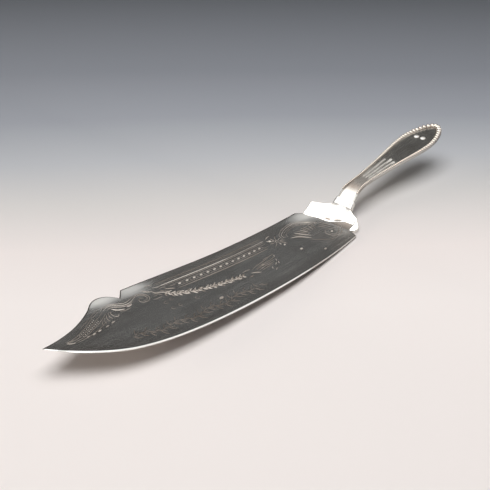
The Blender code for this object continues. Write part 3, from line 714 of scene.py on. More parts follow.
def polished_silver(name, finish, colour, roughness):
    """Sterling silver, rolled or struck and then buffed on a wheel.

    It mirrors its surroundings, a little blurred by fine scratches along the piece. Faint clouds
    of tarnish and a brown film in hollows tint it; the same film paints shade on the blade's lip,
    between the beads and along the shoulder's far edge. Rubbed places turn hazy and paler.
    """
    material = bpy.data.materials.get(name)
    if material:
        return material
    material = bpy.data.materials.new(name)
    material.use_nodes = True
    tree = material.node_tree
    shader = tree.nodes["Principled BSDF"]
    shader.inputs["Metallic"].default_value = 1.0
    place = add_node(tree, "ShaderNodeTexCoord").outputs["Object"]
    cloud = add_node(tree, "ShaderNodeTexNoise", {
        "Vector": place, "Scale": 1.0 / finish.cloud, "Detail": 4.0, "Roughness": 0.6})
    fine = 1.0 / finish.scratch
    streak_place = add_node(tree, "ShaderNodeMapping", {
        "Vector": place, "Scale": (STREAK_STRETCH * fine, fine, fine)})
    streak = add_node(tree, "ShaderNodeTexNoise", {
        "Vector": streak_place.outputs["Vector"], "Scale": 1.0, "Detail": 3.0, "Roughness": 0.7})
    # This film also carries painted shade: the blade's lip, the gaps between beads, the shoulder's far
    # edge.
    film_and_shade = add_node(tree, "ShaderNodeAttribute", attribute_name="film_and_shade").outputs["Fac"]
    worn = add_node(tree, "ShaderNodeAttribute", attribute_name="worn").outputs["Fac"]
    film = add_node(tree, "ShaderNodeMapRange", {
        "Value": cloud.outputs["Fac"], "From Min": CLOUD_SPAN[0], "From Max": CLOUD_SPAN[1],
        "To Min": 0.0, "To Max": CLOUD_FILM})
    film = add_node(tree, "ShaderNodeMath", {0: film.outputs["Result"], 1: film_and_shade},
                    operation="ADD", use_clamp=True)
    tone = add_node(tree, "ShaderNodeMix", {
        "Factor": film.outputs["Value"], 6: linear(colour), 7: linear(finish.tarnish_colour)},
        data_type="RGBA")
    tree.links.new(tone.outputs[2], shader.inputs["Base Color"])
    streaks = add_node(tree, "ShaderNodeMapRange", {
        "Value": streak.outputs["Fac"], "From Min": STREAK_SPAN[0], "From Max": STREAK_SPAN[1],
        "To Min": STREAK_SHARES[0] * roughness, "To Max": STREAK_SHARES[1] * roughness})
    haze = add_node(tree, "ShaderNodeMath", {
        0: worn, 1: finish.worn_roughness, 2: streaks.outputs["Result"]},
        operation="MULTIPLY_ADD", use_clamp=True)
    tree.links.new(haze.outputs["Value"], shader.inputs["Roughness"])
    bump = add_node(tree, "ShaderNodeBump", {
        "Height": streak.outputs["Fac"], "Strength": SCRATCH_STRENGTH, "Distance": SCRATCH_DEPTH})
    tree.links.new(bump.outputs["Normal"], shader.inputs["Normal"])
    return material


def silver_for(context, part):
    """Silver of one group of pieces: blade, handle, bright, bead, pearl or cut."""
    finish = context.scene.cake_server.finish
    colour = getattr(finish, part + "_colour")
    return polished_silver("buffed_sterling_silver_" + part, finish, colour,
                           getattr(finish, part + "_roughness"))


# Marks on the blade. Patches of rubbed haze and of brown film: strength, x, y and reach along both.
RUBBED_PATCHES = ((0.95, -148.0, 25.5, 10.0, 6.5), (0.75, -130.0, 23.5, 9.0, 6.5),
                  (1.05, -13.5, 14.5, 11.0, 6.0), (0.06, -162.0, 10.0, 14.0, 6.0))
FILM_PATCHES = ((0.25, -160.0, 8.0, 16.0, 6.0), (0.25, -174.0, 0.0, 14.0, 12.0))
HEEL_HAZE, BAND_HAZE = 0.17, 0.12
# The last of these darkens the blade's lip towards the heel: painted shade, not film.
HEEL_FILM, BAND_FILM, EDGE_FILM, ROOT_FILM, LIP_PAINTED_SHADE = 0.22, 0.30, 0.24, 0.8, 0.9
RIM_FILM = (0.6, 0.95)

# Where something fades in on the blade: start and run in millimetres.
GRIND_FADE, TIP_FADE = (-95.0, 60.0), (0.0, 9.0)
HEEL_FADE, HEEL_TOP = (-37.0, 8.0), (5.0, 7.0)
BAND_FADE, BAND_END, BAND_DEPTH = (-126.0, 12.0), (-42.0, 12.0), (6.0, 5.0)
RIM_FADE, RIM_DEPTH, HAZE_DEPTH = (-130.0, 10.0), (0.5, 0.6), (0.3, 1.0)
EDGE_RISE, ROOT_FADE, LIP_SHADE_FADE = (2.0, 9.0), (-1.0, 1.2), (-105.0, 30.0)
LIP_STEP = 0.05 * MM
EDGE_CROWDING = 0.6


class SERVER_OT_blade(bpy.types.Operator):
    """Blade: a sheet between the cutting edge and the spine, ground along the edge, with its tang"""

    bl_idname = "cake_server.blade"
    bl_label = "Blade"

    def execute(self, context):
        """One closed section at each x: edge, bevel, top face, rounded spine, back and lip."""
        lay = Layout(context)
        s = lay.all.blade
        belly, spine = lay.belly_line(), lay.spine_line()
        x = stations(belly[:, 0], spine[:, 0], np.linspace(lay.heel, lay.stem, CURVE_POINTS),
                     np.linspace(lay.stem, lay.tang_end, BACK_COLUMNS))
        low, high = y_at(belly, x), y_at(spine, x)
        cutting = x <= lay.heel + s.heel_skew
        slant = np.hypot(1.0, np.gradient(low, x[:, 0], axis=0))
        slant = slant * mix(1.0, s.heel_grind, ramp(x, *GRIND_FADE))
        ground, under = (np.where(cutting, np.minimum(width * slant, (high - low) / 3), 0.0)
                         for width in (s.grind, s.under_grind))
        corner = np.minimum(s.spine_round, (high - low - ground) / 3)
        share = np.linspace(0.0, 1.0, TOP_COLUMNS)
        share = mix(share, (1.0 - np.cos(np.pi * share)) / 2.0, EDGE_CROWDING)
        top_y = mix(low + ground, high - corner, share)
        top_h = lay.sheet(x, top_y)
        side_y = high - corner + corner * np.sin(CORNER_TURN)
        side_h = top_h[:, -1:] - corner * (1 - np.cos(CORNER_TURN))
        under_y = side_y[:, :0:-1]
        under_h = -s.thickness + corner * (1 - np.cos(CORNER_TURN[:0:-1]))
        back_y = mix(high - corner, low + under, np.linspace(0.0, 1.0, BACK_COLUMNS))
        back_h = np.full_like(back_y, -s.thickness)
        edge_h = np.where(cutting, -s.edge_height, -s.thickness)
        lip_y, lip_h = low + LIP_STEP * cutting, edge_h - s.lip * cutting
        section_y = np.concatenate([low, top_y, side_y, under_y, back_y, lip_y], axis=1)
        section_h = np.concatenate([edge_h, top_h, side_h, under_h, back_h, lip_h], axis=1)
        thin = mix(s.tip_thinness, 1.0, ramp(x - lay.tip, *TIP_FADE))
        grid = lay.bend(x, section_y, section_h * thin)
        grid[0] = grid[0].mean(axis=0)
        # Rubbed haze at the hump, behind the notch and at the far heel; brown film on the plain band
        # and the rim of the spine, towards the cutting edge and in the hollow of the shoulder.
        depth = high - section_y
        heel = ramp(x, *HEEL_FADE) * (1.0 - ramp(section_y, *HEEL_TOP))
        band = ramp(x, *BAND_FADE) * (1.0 - ramp(x, *BAND_END)) * (1.0 - ramp(depth, *BAND_DEPTH))
        rubbed = patches(x, section_y, RUBBED_PATCHES) + HEEL_HAZE * heel
        rubbed = rubbed * ramp(depth, *HAZE_DEPTH) + BAND_HAZE * band
        film = BAND_FILM * band + HEEL_FILM * heel + patches(x, section_y, FILM_PATCHES)
        film = film + EDGE_FILM * (1.0 - ramp(section_y - low, *EDGE_RISE))
        film = np.maximum(film, ROOT_FILM * ramp(x - lay.front, *ROOT_FADE))
        # The bevel stays bright, and the lip below it darkens towards the heel: painted shade of the
        # shadowed paper that it mirrors there.
        film[:, :2] = 0.0
        film[:, -1:] = LIP_PAINTED_SHADE * ramp(x, *LIP_SHADE_FADE)
        rim = (1.0 - ramp(depth, *RIM_DEPTH)) * mix(*RIM_FILM, ramp(x, *RIM_FADE))
        film = np.maximum(film, rim)
        make_piece("engraved_blade", [add_poles(grid, first=False)], silver_for(context, "blade"),
                   ["blade"], {"worn": rubbed, "film_and_shade": film})
        return {"FINISHED"}


# Two short cuts behind the front of the shoulder, in millimetres: place behind the front and half
# width, middle and reach across, and half of the gap between them. Then fades as on the blade.
CUT_PLACE, CUT_HALF, CUT_MIDDLE, CUT_REACH, CUT_GAP = 1.6, 0.85, -1.0, 3.2, 0.9
HOOK_FADE, LEAN_FADE, GROOVE_FADE = (-1.2, 1.2), (6.0, 8.0), (-1.4, 0.6)
# The far side's film is a dark outline of painted shade along its rounded edge.
GROOVE_FILM, FAR_EDGE_PAINTED_SHADE = 0.5, 0.9


class SERVER_OT_shoulder(bpy.types.Operator):
    """Shoulder: a lobed plate that rises from the heel of the blade to the neck"""

    bl_idname = "cake_server.shoulder"
    bl_label = "Shoulder"

    def execute(self, context):
        """One closed section at each x: crowned top, rounded sides and the underside."""
        lay = Layout(context)
        s, sheet = lay.all.shoulder, lay.all.blade.thickness
        belly, spine = lay.lobe_lines()
        x = stations(belly[:, 0], spine[:, 0])
        low, high = y_at(belly, x), y_at(spine, x)
        neck = s.neck_width / 2

        def crown(y):
            return s.neck_crown * np.minimum(np.abs(y) / neck, 1.0) ** 2

        def hollow(y):
            bite = s.bite * smooth((s.bite_start - y) / s.bite_run) * ramp(y - s.bite_end, *HOOK_FADE)
            return bite - s.lean * ramp(y, *LEAN_FADE)

        def top(y):
            rise = smooth((x - lay.front) / -lay.front)
            behind = x - lay.front - hollow(y) * (1.0 - (x / lay.front) ** 2)
            foot = mix(s.heel_height, s.edge, np.clip(1 - behind / s.feather, 0.0, 1.0) ** 2)
            lobe = np.where(y > 0, s.spine_lobe_y, -s.belly_lobe_y)
            drop = s.lobe_drop * rise * smooth((np.abs(y) - neck) / (lobe - neck))
            return mix(foot, s.neck_top, rise) - rise * crown(y) - drop

        def bottom(y):
            deep = smooth((x - lay.heel_back) / -lay.heel_back) * smooth(2.0 - np.abs(y) / neck)
            return mix(top(y) - s.lobe_thickness, crown(y) - sheet - s.neck_top, deep)

        worn = np.minimum(s.lobe_round, (high - low) / 4)
        inward, down = worn * (1 - np.sin(CORNER_TURN)), worn * (1 - np.cos(CORNER_TURN))
        left_y, right_y = low + inward[:, ::-1], high - inward
        top_y = mix(low + worn, high - worn, np.linspace(0.0, 1.0, 2 * TOP_COLUMNS))
        upper_y = np.concatenate([left_y, top_y, right_y], axis=1)
        section_y = np.concatenate([upper_y, upper_y[:, ::-1]], axis=1)
        section_h = np.concatenate([top(left_y) - down[:, ::-1], top(top_y), top(right_y) - down,
                                    bottom(upper_y[:, ::-1])], axis=1)
        # The front is hollowed beside the horn and leans forward on the spine side. Top and back
        # meet there in a seam inside the sheet of the blade.
        moved = x + hollow(section_y) * (x / lay.front) ** 2
        seam = lay.bend(moved[:1], section_y[:1], -sheet / 2)
        grid = np.concatenate([seam, lay.bend(moved, section_y, section_h)])
        # Brown film in two short cuts and in the groove at the collar; on the far side a dark outline
        # of painted shade along the rounded edge.
        off = section_y / MM - CUT_MIDDLE
        film = np.exp(-(((x - lay.front) / MM - CUT_PLACE) / CUT_HALF) ** 2)
        film = film * smooth(2.0 - np.abs(off) / CUT_REACH) * (1.0 - np.exp(-(off / CUT_GAP) ** 2))
        film = film + GROOVE_FILM * ramp(x, *GROOVE_FADE)
        far = upper_y.shape[1]
        film[:, far - len(CORNER_TURN):far] = FAR_EDGE_PAINTED_SHADE
        make_piece("lobed_shoulder", [add_poles(grid, first=False)], silver_for(context, "bright"),
                   ["shoulder"], {"film_and_shade": np.concatenate([film[:1], film])})
        return {"FINISHED"}


# How far the collar runs over the neck of the shoulder.
COLLAR_LAP = 0.2 * MM


class SERVER_OT_collar(bpy.types.Operator):
    """Neck collar: a proud band round the neck with a slightly swollen middle"""

    bl_idname = "cake_server.collar"
    bl_label = "Neck collar"

    def execute(self, context):
        """Rounded squares |y/a|^n + |h/b|^n = 1 along the neck, swelling as the root of a sine."""
        lay = Layout(context)
        s = lay.all.collar
        middle = -lay.all.blade.thickness / 2
        share = (1 - np.cos(np.linspace(0.0, np.pi, COLLAR_ROWS)))[:, None] / 2
        angle = ring_angles(COLLAR_COLUMNS)
        swell = s.swell * (np.sqrt(np.maximum(np.sin(np.pi * share), 0.0)) - 1.0)
        x = mix(-COLLAR_LAP, s.length + lay.all.handle.gap, share)
        half = mix(s.width, lay.all.handle.neck_width + 2 * s.proud, share) / 2 + swell
        tall = lay.all.shoulder.neck_top + s.proud - middle + swell
        across = np.sign(np.cos(angle)) * np.abs(np.cos(angle)) ** (2 / s.squareness)
        up = np.sign(np.sin(angle)) * np.abs(np.sin(angle)) ** (2 / s.squareness)
        grid = add_poles(lay.bend(x, half * across, middle + tall * up))
        make_piece("neck_band", [grid], silver_for(context, "bright"),
                   ["neck_collar"])
        return {"FINISHED"}


# Brown film and haze on the face of the handle, and where they fade: start and run in millimetres.
STEM_FILM, STEM_PALER, PLAIN_FILM, LEDGE_FILM = 0.8, 0.25, 0.25, 0.7
REED_FILM = (0.30, 0.38)
STEM_HAZE, REED_HAZE, EDGE_HAZE = 0.30, 0.20, 0.1
STEM_FADE, PALER_FADE, STEM_END = (4.5, 5.5), (11.0, 5.0), (18.0, 10.0)
REED_FADE, REED_END, REED_RISE, HAZE_END = (16.0, 6.0), (40.0, 6.0), (0.0, 0.3), (22.0, 24.0)
LEDGE_WALL, LEDGE_FOOT = 0.06 * MM, 0.08 * MM
# Rings of the worn edge and of the ledge's wall, counted from the seam.
EDGE_RINGS, LEDGE_RINGS = range(1, 7), (7, 8)
# Stands for the radius of a reed where there is none.
NO_REED = 1e-9


class SERVER_OT_handle(bpy.types.Operator):
    """Handle: a front half with a ledge and three reeds, and a rounded back half"""

    bl_idname = "cake_server.handle"
    bl_label = "Handle halves"

    def reed_height(self, lay, x, y):
        """Three half ellipses across the face that swell along x and end in a round nose."""
        s = lay.all.reeds
        line = lay.handle_line()
        start = lay.handle_x + lay.all.handle.waist_from_neck + s.from_waist
        face = y_at(line, x) - lay.ledge_width(x)
        height = np.zeros_like(x)
        for side in (-1.0, 0.0, 1.0):
            length = s.side_length if side else s.middle_length
            share = (x - start) / length
            past = np.clip(1.0 - (1.0 - share) * length / s.nose, 0.0, 1.0)
            radius = mix(s.thin_radius, s.radius, share) * np.sqrt(1.0 - past * past)
            radius = np.where((share > 0) & (share < 1), radius, NO_REED)
            off = (y - side * s.spread * face) / radius
            bump = s.height * radius / s.radius * np.sqrt(np.maximum(1.0 - off * off, 0.0))
            height = np.maximum(height, bump)
        return height

    def execute(self, context):
        """Each half is a loop of rings and a flat, carried along the edge of the handle."""
        lay = Layout(context)
        s = lay.all.handle
        seam = -lay.all.blade.thickness / 2
        hairline = s.gap / 6
        front_seam, back_seam = seam + hairline, seam - hairline
        ledge = s.face_height - s.gap
        face = s.face_height - s.sunk
        worn = s.edge_round

        def ring(inset, height):
            return lambda x: inset + 0.0 * x, lambda x: height

        def both_sides(*numbers):
            return [*numbers, *(-1 - k for k in numbers)]

        rings = [ring(0.0, front_seam), ring(0.0, ledge - worn)]
        for angle in EDGE_TURN:
            rings.append(ring(worn * (1 - math.cos(angle)), ledge - worn * (1 - math.sin(angle))))
        rings += [
            (lambda x: lay.ledge_width(x) - LEDGE_WALL, lambda x: ledge),
            (lambda x: lay.ledge_width(x), lambda x: face + LEDGE_FOOT),
            (lambda x: lay.ledge_width(x) + LEDGE_FOOT, lambda x: face),
        ]
        front = lay.handle_half(rings, lambda x, y: face + self.reed_height(lay, x, y), FACE_COLUMNS)
        # Brown film along the ledge, where the stem bends and in the valleys between the reeds.
        at = front[..., 0]
        raised = ramp(front[..., 2] - face, *REED_RISE)
        bent = STEM_FILM * ramp(at, *STEM_FADE) * (1.0 - STEM_PALER * ramp(at, *PALER_FADE))
        reeded = ramp(at, *REED_FADE) * (1.0 - ramp(at, *REED_END)) * mix(*REED_FILM, raised)
        film = np.maximum(bent * (1.0 - ramp(at, *STEM_END)), reeded)
        film = np.maximum(film, PLAIN_FILM * ramp(at, *REED_END))
        film[:, both_sides(*LEDGE_RINGS)] = LEDGE_FILM
        haze = STEM_HAZE * (1.0 - ramp(at, *HAZE_END)) + REED_HAZE * raised
        haze[:, both_sides(*EDGE_RINGS)] = EDGE_HAZE
        grid = add_poles(lay.bend(*np.moveaxis(front, -1, 0)), last=False)
        marks = {"film_and_shade": np.concatenate([film[:1], film]), "worn": np.concatenate([haze[:1], haze])}
        make_piece("handle_face", [grid], silver_for(context, "handle"),
                   ["handle_front"], marks)

        edge = back_seam - s.back_wall
        reach = min(s.back_round, s.waist_width / 3)

        def depth(share):
            def height(x):
                grown = smooth((x - lay.handle_x) / s.length)
                cover = mix(s.back_cover_neck, s.back_cover_end, grown)
                return mix(edge, np.minimum(2 * seam - cover, edge), share)
            return height

        rings = [ring(0.0, back_seam), ring(0.0, edge)]
        for angle in REVERSE_TURN:
            inset = reach * (1 - math.cos(angle))
            rings.append((lambda x, d=inset: d + 0.0 * x, depth(math.sin(angle))))
        back = lay.handle_half(rings, lambda x, y: depth(1.0)(x), REVERSE_COLUMNS)
        grid = add_poles(lay.bend(*np.moveaxis(back, -1, 0)), last=False)
        make_piece("handle_reverse", [grid], silver_for(context, "handle"),
                   ["handle_back"])
        return {"FINISHED"}


# Angles of a bead's lowest and highest ring, and brown film on its rings from foot to top, which
# also paints the shade round the feet of the beads.
BEAD_SPAN = (-20.0, 72.0)
BEAD_FILM_AND_SHADE = (1.0, 1.0, 0.6, 0.1, 0.0, 0.0, 0.0)
# Step over which the direction of the edge is taken.
TRACK_STEP = 0.3 * MM


class SERVER_OT_border(bpy.types.Operator):
    """Beaded border: graduated round beads on a half-round wire along the edge of the handle"""

    bl_idname = "cake_server.border"
    bl_label = "Beaded border"

    def execute(self, context):
        """Beads are stepped along the edge so that each touches the last, then placed as arrays."""
        lay = Layout(context)
        s = lay.all.border
        edge = lay.handle_line()[::-1]
        run = lengths(edge)

        def place(at):
            """Point of the edge at a length along it from the end of the handle."""
            return np.stack([np.interp(at, run, edge[:, 0]), np.interp(at, run, edge[:, 1])])

        def bead_at(at):
            return lay.bead_radius(place(at)[0])

        def track(at, inset):
            """Point of the border set in from the edge, and the direction of the edge."""
            x, y = place(at)
            dx, dy = place(at + TRACK_STEP) - place(at - TRACK_STEP)
            dx, dy = np.where(at < TRACK_STEP, 0.0, dx), np.where(at < TRACK_STEP, 1.0, dy)
            length = np.hypot(dx, dy)
            return x - inset * dy / length, y + inset * dx / length, dx / length, dy / length

        places = [0.0]
        while True:
            here = s.squash * bead_at(places[-1])
            step = here + s.squash * bead_at(places[-1] + 2 * here)
            if places[-1] + step > run[-1] - s.start:
                break
            places.append(places[-1] + step)
        places = np.array(places)
        radius = bead_at(places)
        bead = np.stack(track(places, s.inset + radius))
        bead = np.concatenate([bead, bead[:, 1:] * np.array([[1.0], [-1.0], [1.0], [-1.0]])], axis=1)
        x, y, along_x, along_y = bead[:, :, None, None]
        radius = np.concatenate([radius, radius[1:]])[:, None, None]
        up = np.radians(np.linspace(*BEAD_SPAN, BEAD_RINGS))[None, :, None]
        around = ring_angles(BEAD_COLUMNS)[None, None, :]
        base = lay.all.handle.face_height
        radius = s.fill * radius
        long = s.squash * radius * np.cos(up) * np.cos(around)
        wide = radius * np.cos(up) * np.sin(around)
        beads = lay.bend(x + along_x * long - along_y * wide, y + along_y * long + along_x * wide,
                         base + radius * (np.sin(up) - s.sink))
        at = np.linspace(0.0, places[-1], WIRE_ROWS)[:, None]
        thick = bead_at(at)
        turn = ring_angles(WIRE_COLUMNS)
        wire_x, wire_y = track(at + 0.0 * turn, s.inset + thick - s.wire * thick * np.cos(turn))[:2]
        wire_h = base - s.sink * thick + s.wire * thick * np.sin(turn)
        spine = np.stack([wire_x, wire_y, wire_h], axis=-1)
        belly = spine[:0:-1] * (1.0, -1.0, 1.0)
        wire = add_poles(lay.bend(*np.moveaxis(np.concatenate([belly, spine]), -1, 0)))
        beads = add_poles(beads)
        # Brown film between the beads and round their feet, partly painted shade: the dark wire makes
        # the gaps between the beads read as shaded.
        film = np.broadcast_to(np.array(BEAD_FILM_AND_SHADE)[:, None], beads.shape[:3])
        film = np.concatenate([np.ones(wire.shape[0] * wire.shape[1]), film.ravel()])
        make_piece("beaded_wire", [wire, beads], silver_for(context, "bead"),
                   ["bead_border"], {"film_and_shade": film})
        return {"FINISHED"}


# Angles of a pearl's lowest and highest ring, and depth of its foot as a share of the gap.
PEARL_SPAN = (0.0, 84.0)
PEARL_FOOT = 0.5


class SERVER_OT_pearls(bpy.types.Operator):
    """Pearls: two low round domes side by side near the end of the handle"""

    bl_idname = "cake_server.pearls"
    bl_label = "Pearls"

    def execute(self, context):
        """Rings of a low half ellipsoid with a small foot, closed by a pole at top and bottom."""
        lay = Layout(context)
        s = lay.all.pearls
        off = s.radius + s.gap / 2
        face = lay.all.handle.face_height - lay.all.handle.sunk
        up = np.radians(np.linspace(*PEARL_SPAN, PEARL_RINGS))[:, None]
        around = ring_angles(PEARL_COLUMNS)
        out = np.concatenate([[[1.0]], np.cos(up)]) * s.radius
        foot = face - PEARL_FOOT * lay.all.handle.gap
        rise = np.concatenate([[[foot]], face + s.height * np.sin(up)])
        for name, side in (("far", 1.0), ("near", -1.0)):
            grid = lay.bend(lay.end - s.from_end + out * np.cos(around),
                            s.shift + side * off + out * np.sin(around), rise + 0.0 * around)
            make_piece("pearl_dome_" + name, [add_poles(grid)], silver_for(context, "pearl"),
                       ["pearl_" + name])
        return {"FINISHED"}


def stroke(points, count):
    """Smooth line of count points at even steps through a few points in millimetres.

    Cubics join the points, with slopes from the points on either side.
    """
    points = np.array(points, float) * MM
    run = lengths(points)
    slopes = np.gradient(points, run, axis=0)
    at = np.linspace(0.0, run[-1], count)
    return np.stack([hermite(at, run, points[:, i], slopes[:, i])[0] for i in (0, 1)], axis=-1)


def beside(points, offset):
    """Line set off to the left of a smooth line by a distance in millimetres."""
    line = stroke(points, 4 * len(points)) / MM
    along = directions(line)
    return line + offset * np.stack([-along[:, 1], along[:, 0]], axis=-1)


def leaf(root, angle, reach, bow):
    """Three points of a bowed leaf in millimetres, from its root at an angle in degrees."""
    a = math.radians(angle)
    root, along = np.array(root), np.array([math.cos(a), math.sin(a)])
    across = np.array([-along[1], along[0]])
    return [root, root + 0.5 * reach * along + bow * across, root + reach * along]


def scroll(centre, radius, inner, start, turn):
    """Spiral from the radius to the inner radius round a centre, through an angle in degrees."""
    t = np.linspace(0.0, 1.0, 15)
    angle, reach = np.radians(start + turn * t), mix(radius, inner, t)
    return np.stack([centre[0] + reach * np.cos(angle), centre[1] + reach * np.sin(angle)], axis=-1)


def weigh(rows, unit, power):
    """Cuts from rows of points, width as a share of a unit, and film."""
    return [(points, width * unit, power, film) for points, width, film in rows]


# Points along a cut, by its length in millimetres: their number, from, and up to.
CUT_POINTS = ((6, 0.0, 4.5), (14, 4.5, 16.0), (56, 16.0, 1000.0))
# Section of a cut, rim, valley, rim and the root: shares of its width, shares of the rim's height
# and the least film.
SECTION_ACROSS = np.array([-0.5, -0.36, 0.0, 0.36, 0.5, 0.0])
SECTION_RISE = np.array([-0.10, 1.0, 0.10, 1.0, -0.10, -0.5])
SECTION_FILM = np.array([0.3, 0.0, 0.3, 0.0, 0.3, 0.3])


def engrave(context, name, cuts):
    """Engraved cuts: each a line in millimetres, a width, a power and the film in it.

    A V-shaped valley between two raised rims is carried along each line. Its width and height
    follow sin(pi t) to the power, so the cut grows from a point and ends in one. The film is a
    share from 0, a bright cut, to 1, a brown one. Short cuts are given few points.
    """
    lay = Layout(context)
    reach = [lengths(np.array(cut[0], float))[-1] for cut in cuts]
    grids, films = [], []
    for count, least, most in CUT_POINTS:
        group = [cut for cut, length in zip(cuts, reach) if least <= length < most]
        if not group:
            continue
        path = np.stack([stroke(cut[0], count) for cut in group])
        width, power, film = np.array([cut[1:] for cut in group]).T[:, :, None]
        t = np.linspace(0.0, 1.0, count)[None, :]
        width = (width * np.sin(np.pi * np.minimum(t, 1.0 - t)) ** power)[..., None]
        along = directions(path, axis=1)
        x = path[..., 0:1] - along[..., 1:2] * width * SECTION_ACROSS
        y = path[..., 1:2] + along[..., 0:1] * width * SECTION_ACROSS
        h = lay.sheet(x, y) + lay.all.engraving.rim * width * SECTION_RISE
        grids.append(lay.bend(x, y, h))
        films.append(np.broadcast_to(mix(SECTION_FILM, 1.0, film[..., None]), h.shape).ravel())
    make_piece(name, grids, silver_for(context, "cut"),
               marks={"film_and_shade": np.concatenate(films)})


# Spine border, in millimetres: where its hatching runs and how far its cuts slant, where its dashes
# run, their number and how much they crowd towards the heel, and the gap of the lines beside them.
HATCH_RUN, HATCH_SLANT = (-119.5, -51.5), 0.9
DASH_RUN, DASHES, DASH_CROWDING, DASH_MARGIN = (-110.5, -58.5), 14, 0.125, 1.4


class SERVER_OT_spine_border(bpy.types.Operator):
    """Engraved border along the spine: hatching, a double line, a chain of dashes, a lower line"""

    bl_idname = "cake_server.spine_border"
    bl_label = "Engraved spine border"

    def execute(self, context):
        """Every cut is set off below the spine by its own distance."""
        lay = Layout(context)
        s = lay.all.engraving
        spine = lay.spine_line() / MM
        hatch, line, dash, low = (v / MM for v in (s.hatch_offset, s.line_offset, s.dash_offset,
                                                   s.low_offset))

        def below(x, offset):
            return x, float(y_at(spine, x)) - offset

        def band(start, end, offset):
            return [below(x, offset) for x in np.linspace(start, end, 8)]

        cuts = [
            (band(-120.0, -51.0, hatch), s.hair, 0.15, 0.85),
            (band(-119.0, -76.0, line), 1.1 * s.bold, 0.15, 0.0),
            (band(-80.0, -51.5, line), 0.9 * s.bold, 0.15, 0.35),
            (band(-118.5, -51.5, line + s.line_gap / MM), s.fine, 0.15, 0.7),
            (band(-114.0, -52.0, dash - DASH_MARGIN), s.hair, 0.15, 0.7),
            (band(-114.0, -53.0, dash + DASH_MARGIN), s.hair, 0.15, 0.7),
            (band(-114.0, -55.0, low), 1.3 * s.bold, 0.3, 0.72),
        ]
        # The hatching is drawn coarser than it is cut, so that it shows in the picture.
        for x in np.arange(*HATCH_RUN, s.hatch_pitch / MM):
            slanted = [below(x, hatch), below(x + HATCH_SLANT, hatch + s.hatch_width / MM)]
            cuts.append((slanted, 0.8 * s.hair, 0.4, 0.95))
        half = s.dash_length / MM / 2
        share = np.linspace(0.0, 1.0, DASHES)
        for x in mix(*DASH_RUN, share * (1.0 + DASH_CROWDING - DASH_CROWDING * share)):
            cuts.append(([below(x - half, dash), below(x + half, dash - 0.3)], s.dash_width, 0.6, 0.1))
            cuts.append(([below(x + half + 0.5, dash - 0.9), below(x + half + 1.1, dash + 0.9)],
                         s.hair, 0.5, 0.7))
        engrave(context, "spine_border", cuts)
        return {"FINISHED"}


# Garland: its hanging stem in millimetres, the number of its leaf pairs, and small curls below it.
GARLAND_STEM = [(-122, 9.4), (-117.4, 5.6), (-112, 2.8), (-107, 0.8), (-102, -0.7),
                (-97, -2), (-91, -3.3), (-84.5, -4.4)]
GARLAND_PAIRS = 32
GARLAND_CURLS = ((-127.2, 2.8), (-123.2, 3.4), (-128, -3), (-123.6, -2.8), (-113.6, -3.4))

# Ribbon of the garland: points in millimetres, width as a share of a bold cut, and film.
RIBBON = (
    ([(-128.6, 18.6), (-127.4, 16.2), (-125.4, 14.6)], 1.5, 0.15),
    ([(-125.4, 15.6), (-125, 13.2), (-123.2, 11.6)], 1.3, 0.35),
    ([(-124, 12.6), (-122, 10.9), (-120.8, 8.6)], 1.5, 0.1),
    ([(-126.6, 12.8), (-124.6, 11.2), (-123.8, 9.2)], 1, 0.5),
    ([(-121.8, 13.2), (-120.8, 11.2), (-119, 9.8)], 1, 0.5),
    ([(-126, 19.4), (-123.6, 20.2), (-121, 19.4)], 1, 0.3),
    ([(-130, 8.6), (-127, 8.3), (-124, 8.4)], 0.9, 0.45),
    ([(-128, 10.8), (-125.4, 10.5)], 0.8, 0.55),
    ([(-123.2, 17.4), (-120.4, 16.1), (-117.4, 16.4)], 1, 0.3),
    ([(-119.4, 12.8), (-117.2, 11.2), (-115, 9.6)], 1.7, 0.45),
    ([(-121.6, 14.2), (-119.6, 14.6), (-117.2, 13.5)], 0.9, 0.45),
    ([(-116.4, 13.4), (-114.4, 12.7), (-112.4, 12)], 0.9, 0.55),
    ([(-82.4, -2.2), (-79.8, -2.2), (-77.2, -2.7)], 1.2, 0.45),
    ([(-79.6, -5.4), (-77.4, -6.6), (-75, -8.6)], 1.8, 0.35),
    ([(-82.8, -7.6), (-80.2, -7.9)], 1.6, 0.5),
)

# Strands and leaves of the sprig behind the garland.
STRANDS = (
    [(-77.1, -3.8), (-73, -2.6), (-68, -2.1), (-62, -1.5)],
    [(-75.1, -4.6), (-69.5, -3.5), (-64.5, -3.7), (-58.8, -2.7)],
    [(-76, -5.4), (-71, -4.6), (-66, -4.9), (-61.5, -4.4)],
    [(-75.4, -6.6), (-69.6, -5.8), (-65.8, -6.1), (-62.5, -6)],
    [(-73.9, -7.6), (-69.7, -7.2), (-65.1, -7)],
    [(-66, -0.8), (-61.6, -0.9), (-57.5, -0.6)],
)
SPRIG = (
    [(-67.5, -8.4), (-68.9, -10.4)], [(-66.3, -10.9), (-68.9, -12.2)], [(-61.6, -7.1), (-62.6, -9)],
    [(-60.4, -4.7), (-62, -6.6)], [(-63.1, -7.5), (-65.2, -8.7)], [(-70.6, -4.1), (-68.4, -4.3)],
    [(-58.6, -1.4), (-59.4, -3.2)], [(-73, -5.9), (-71.2, -6.2)],
)


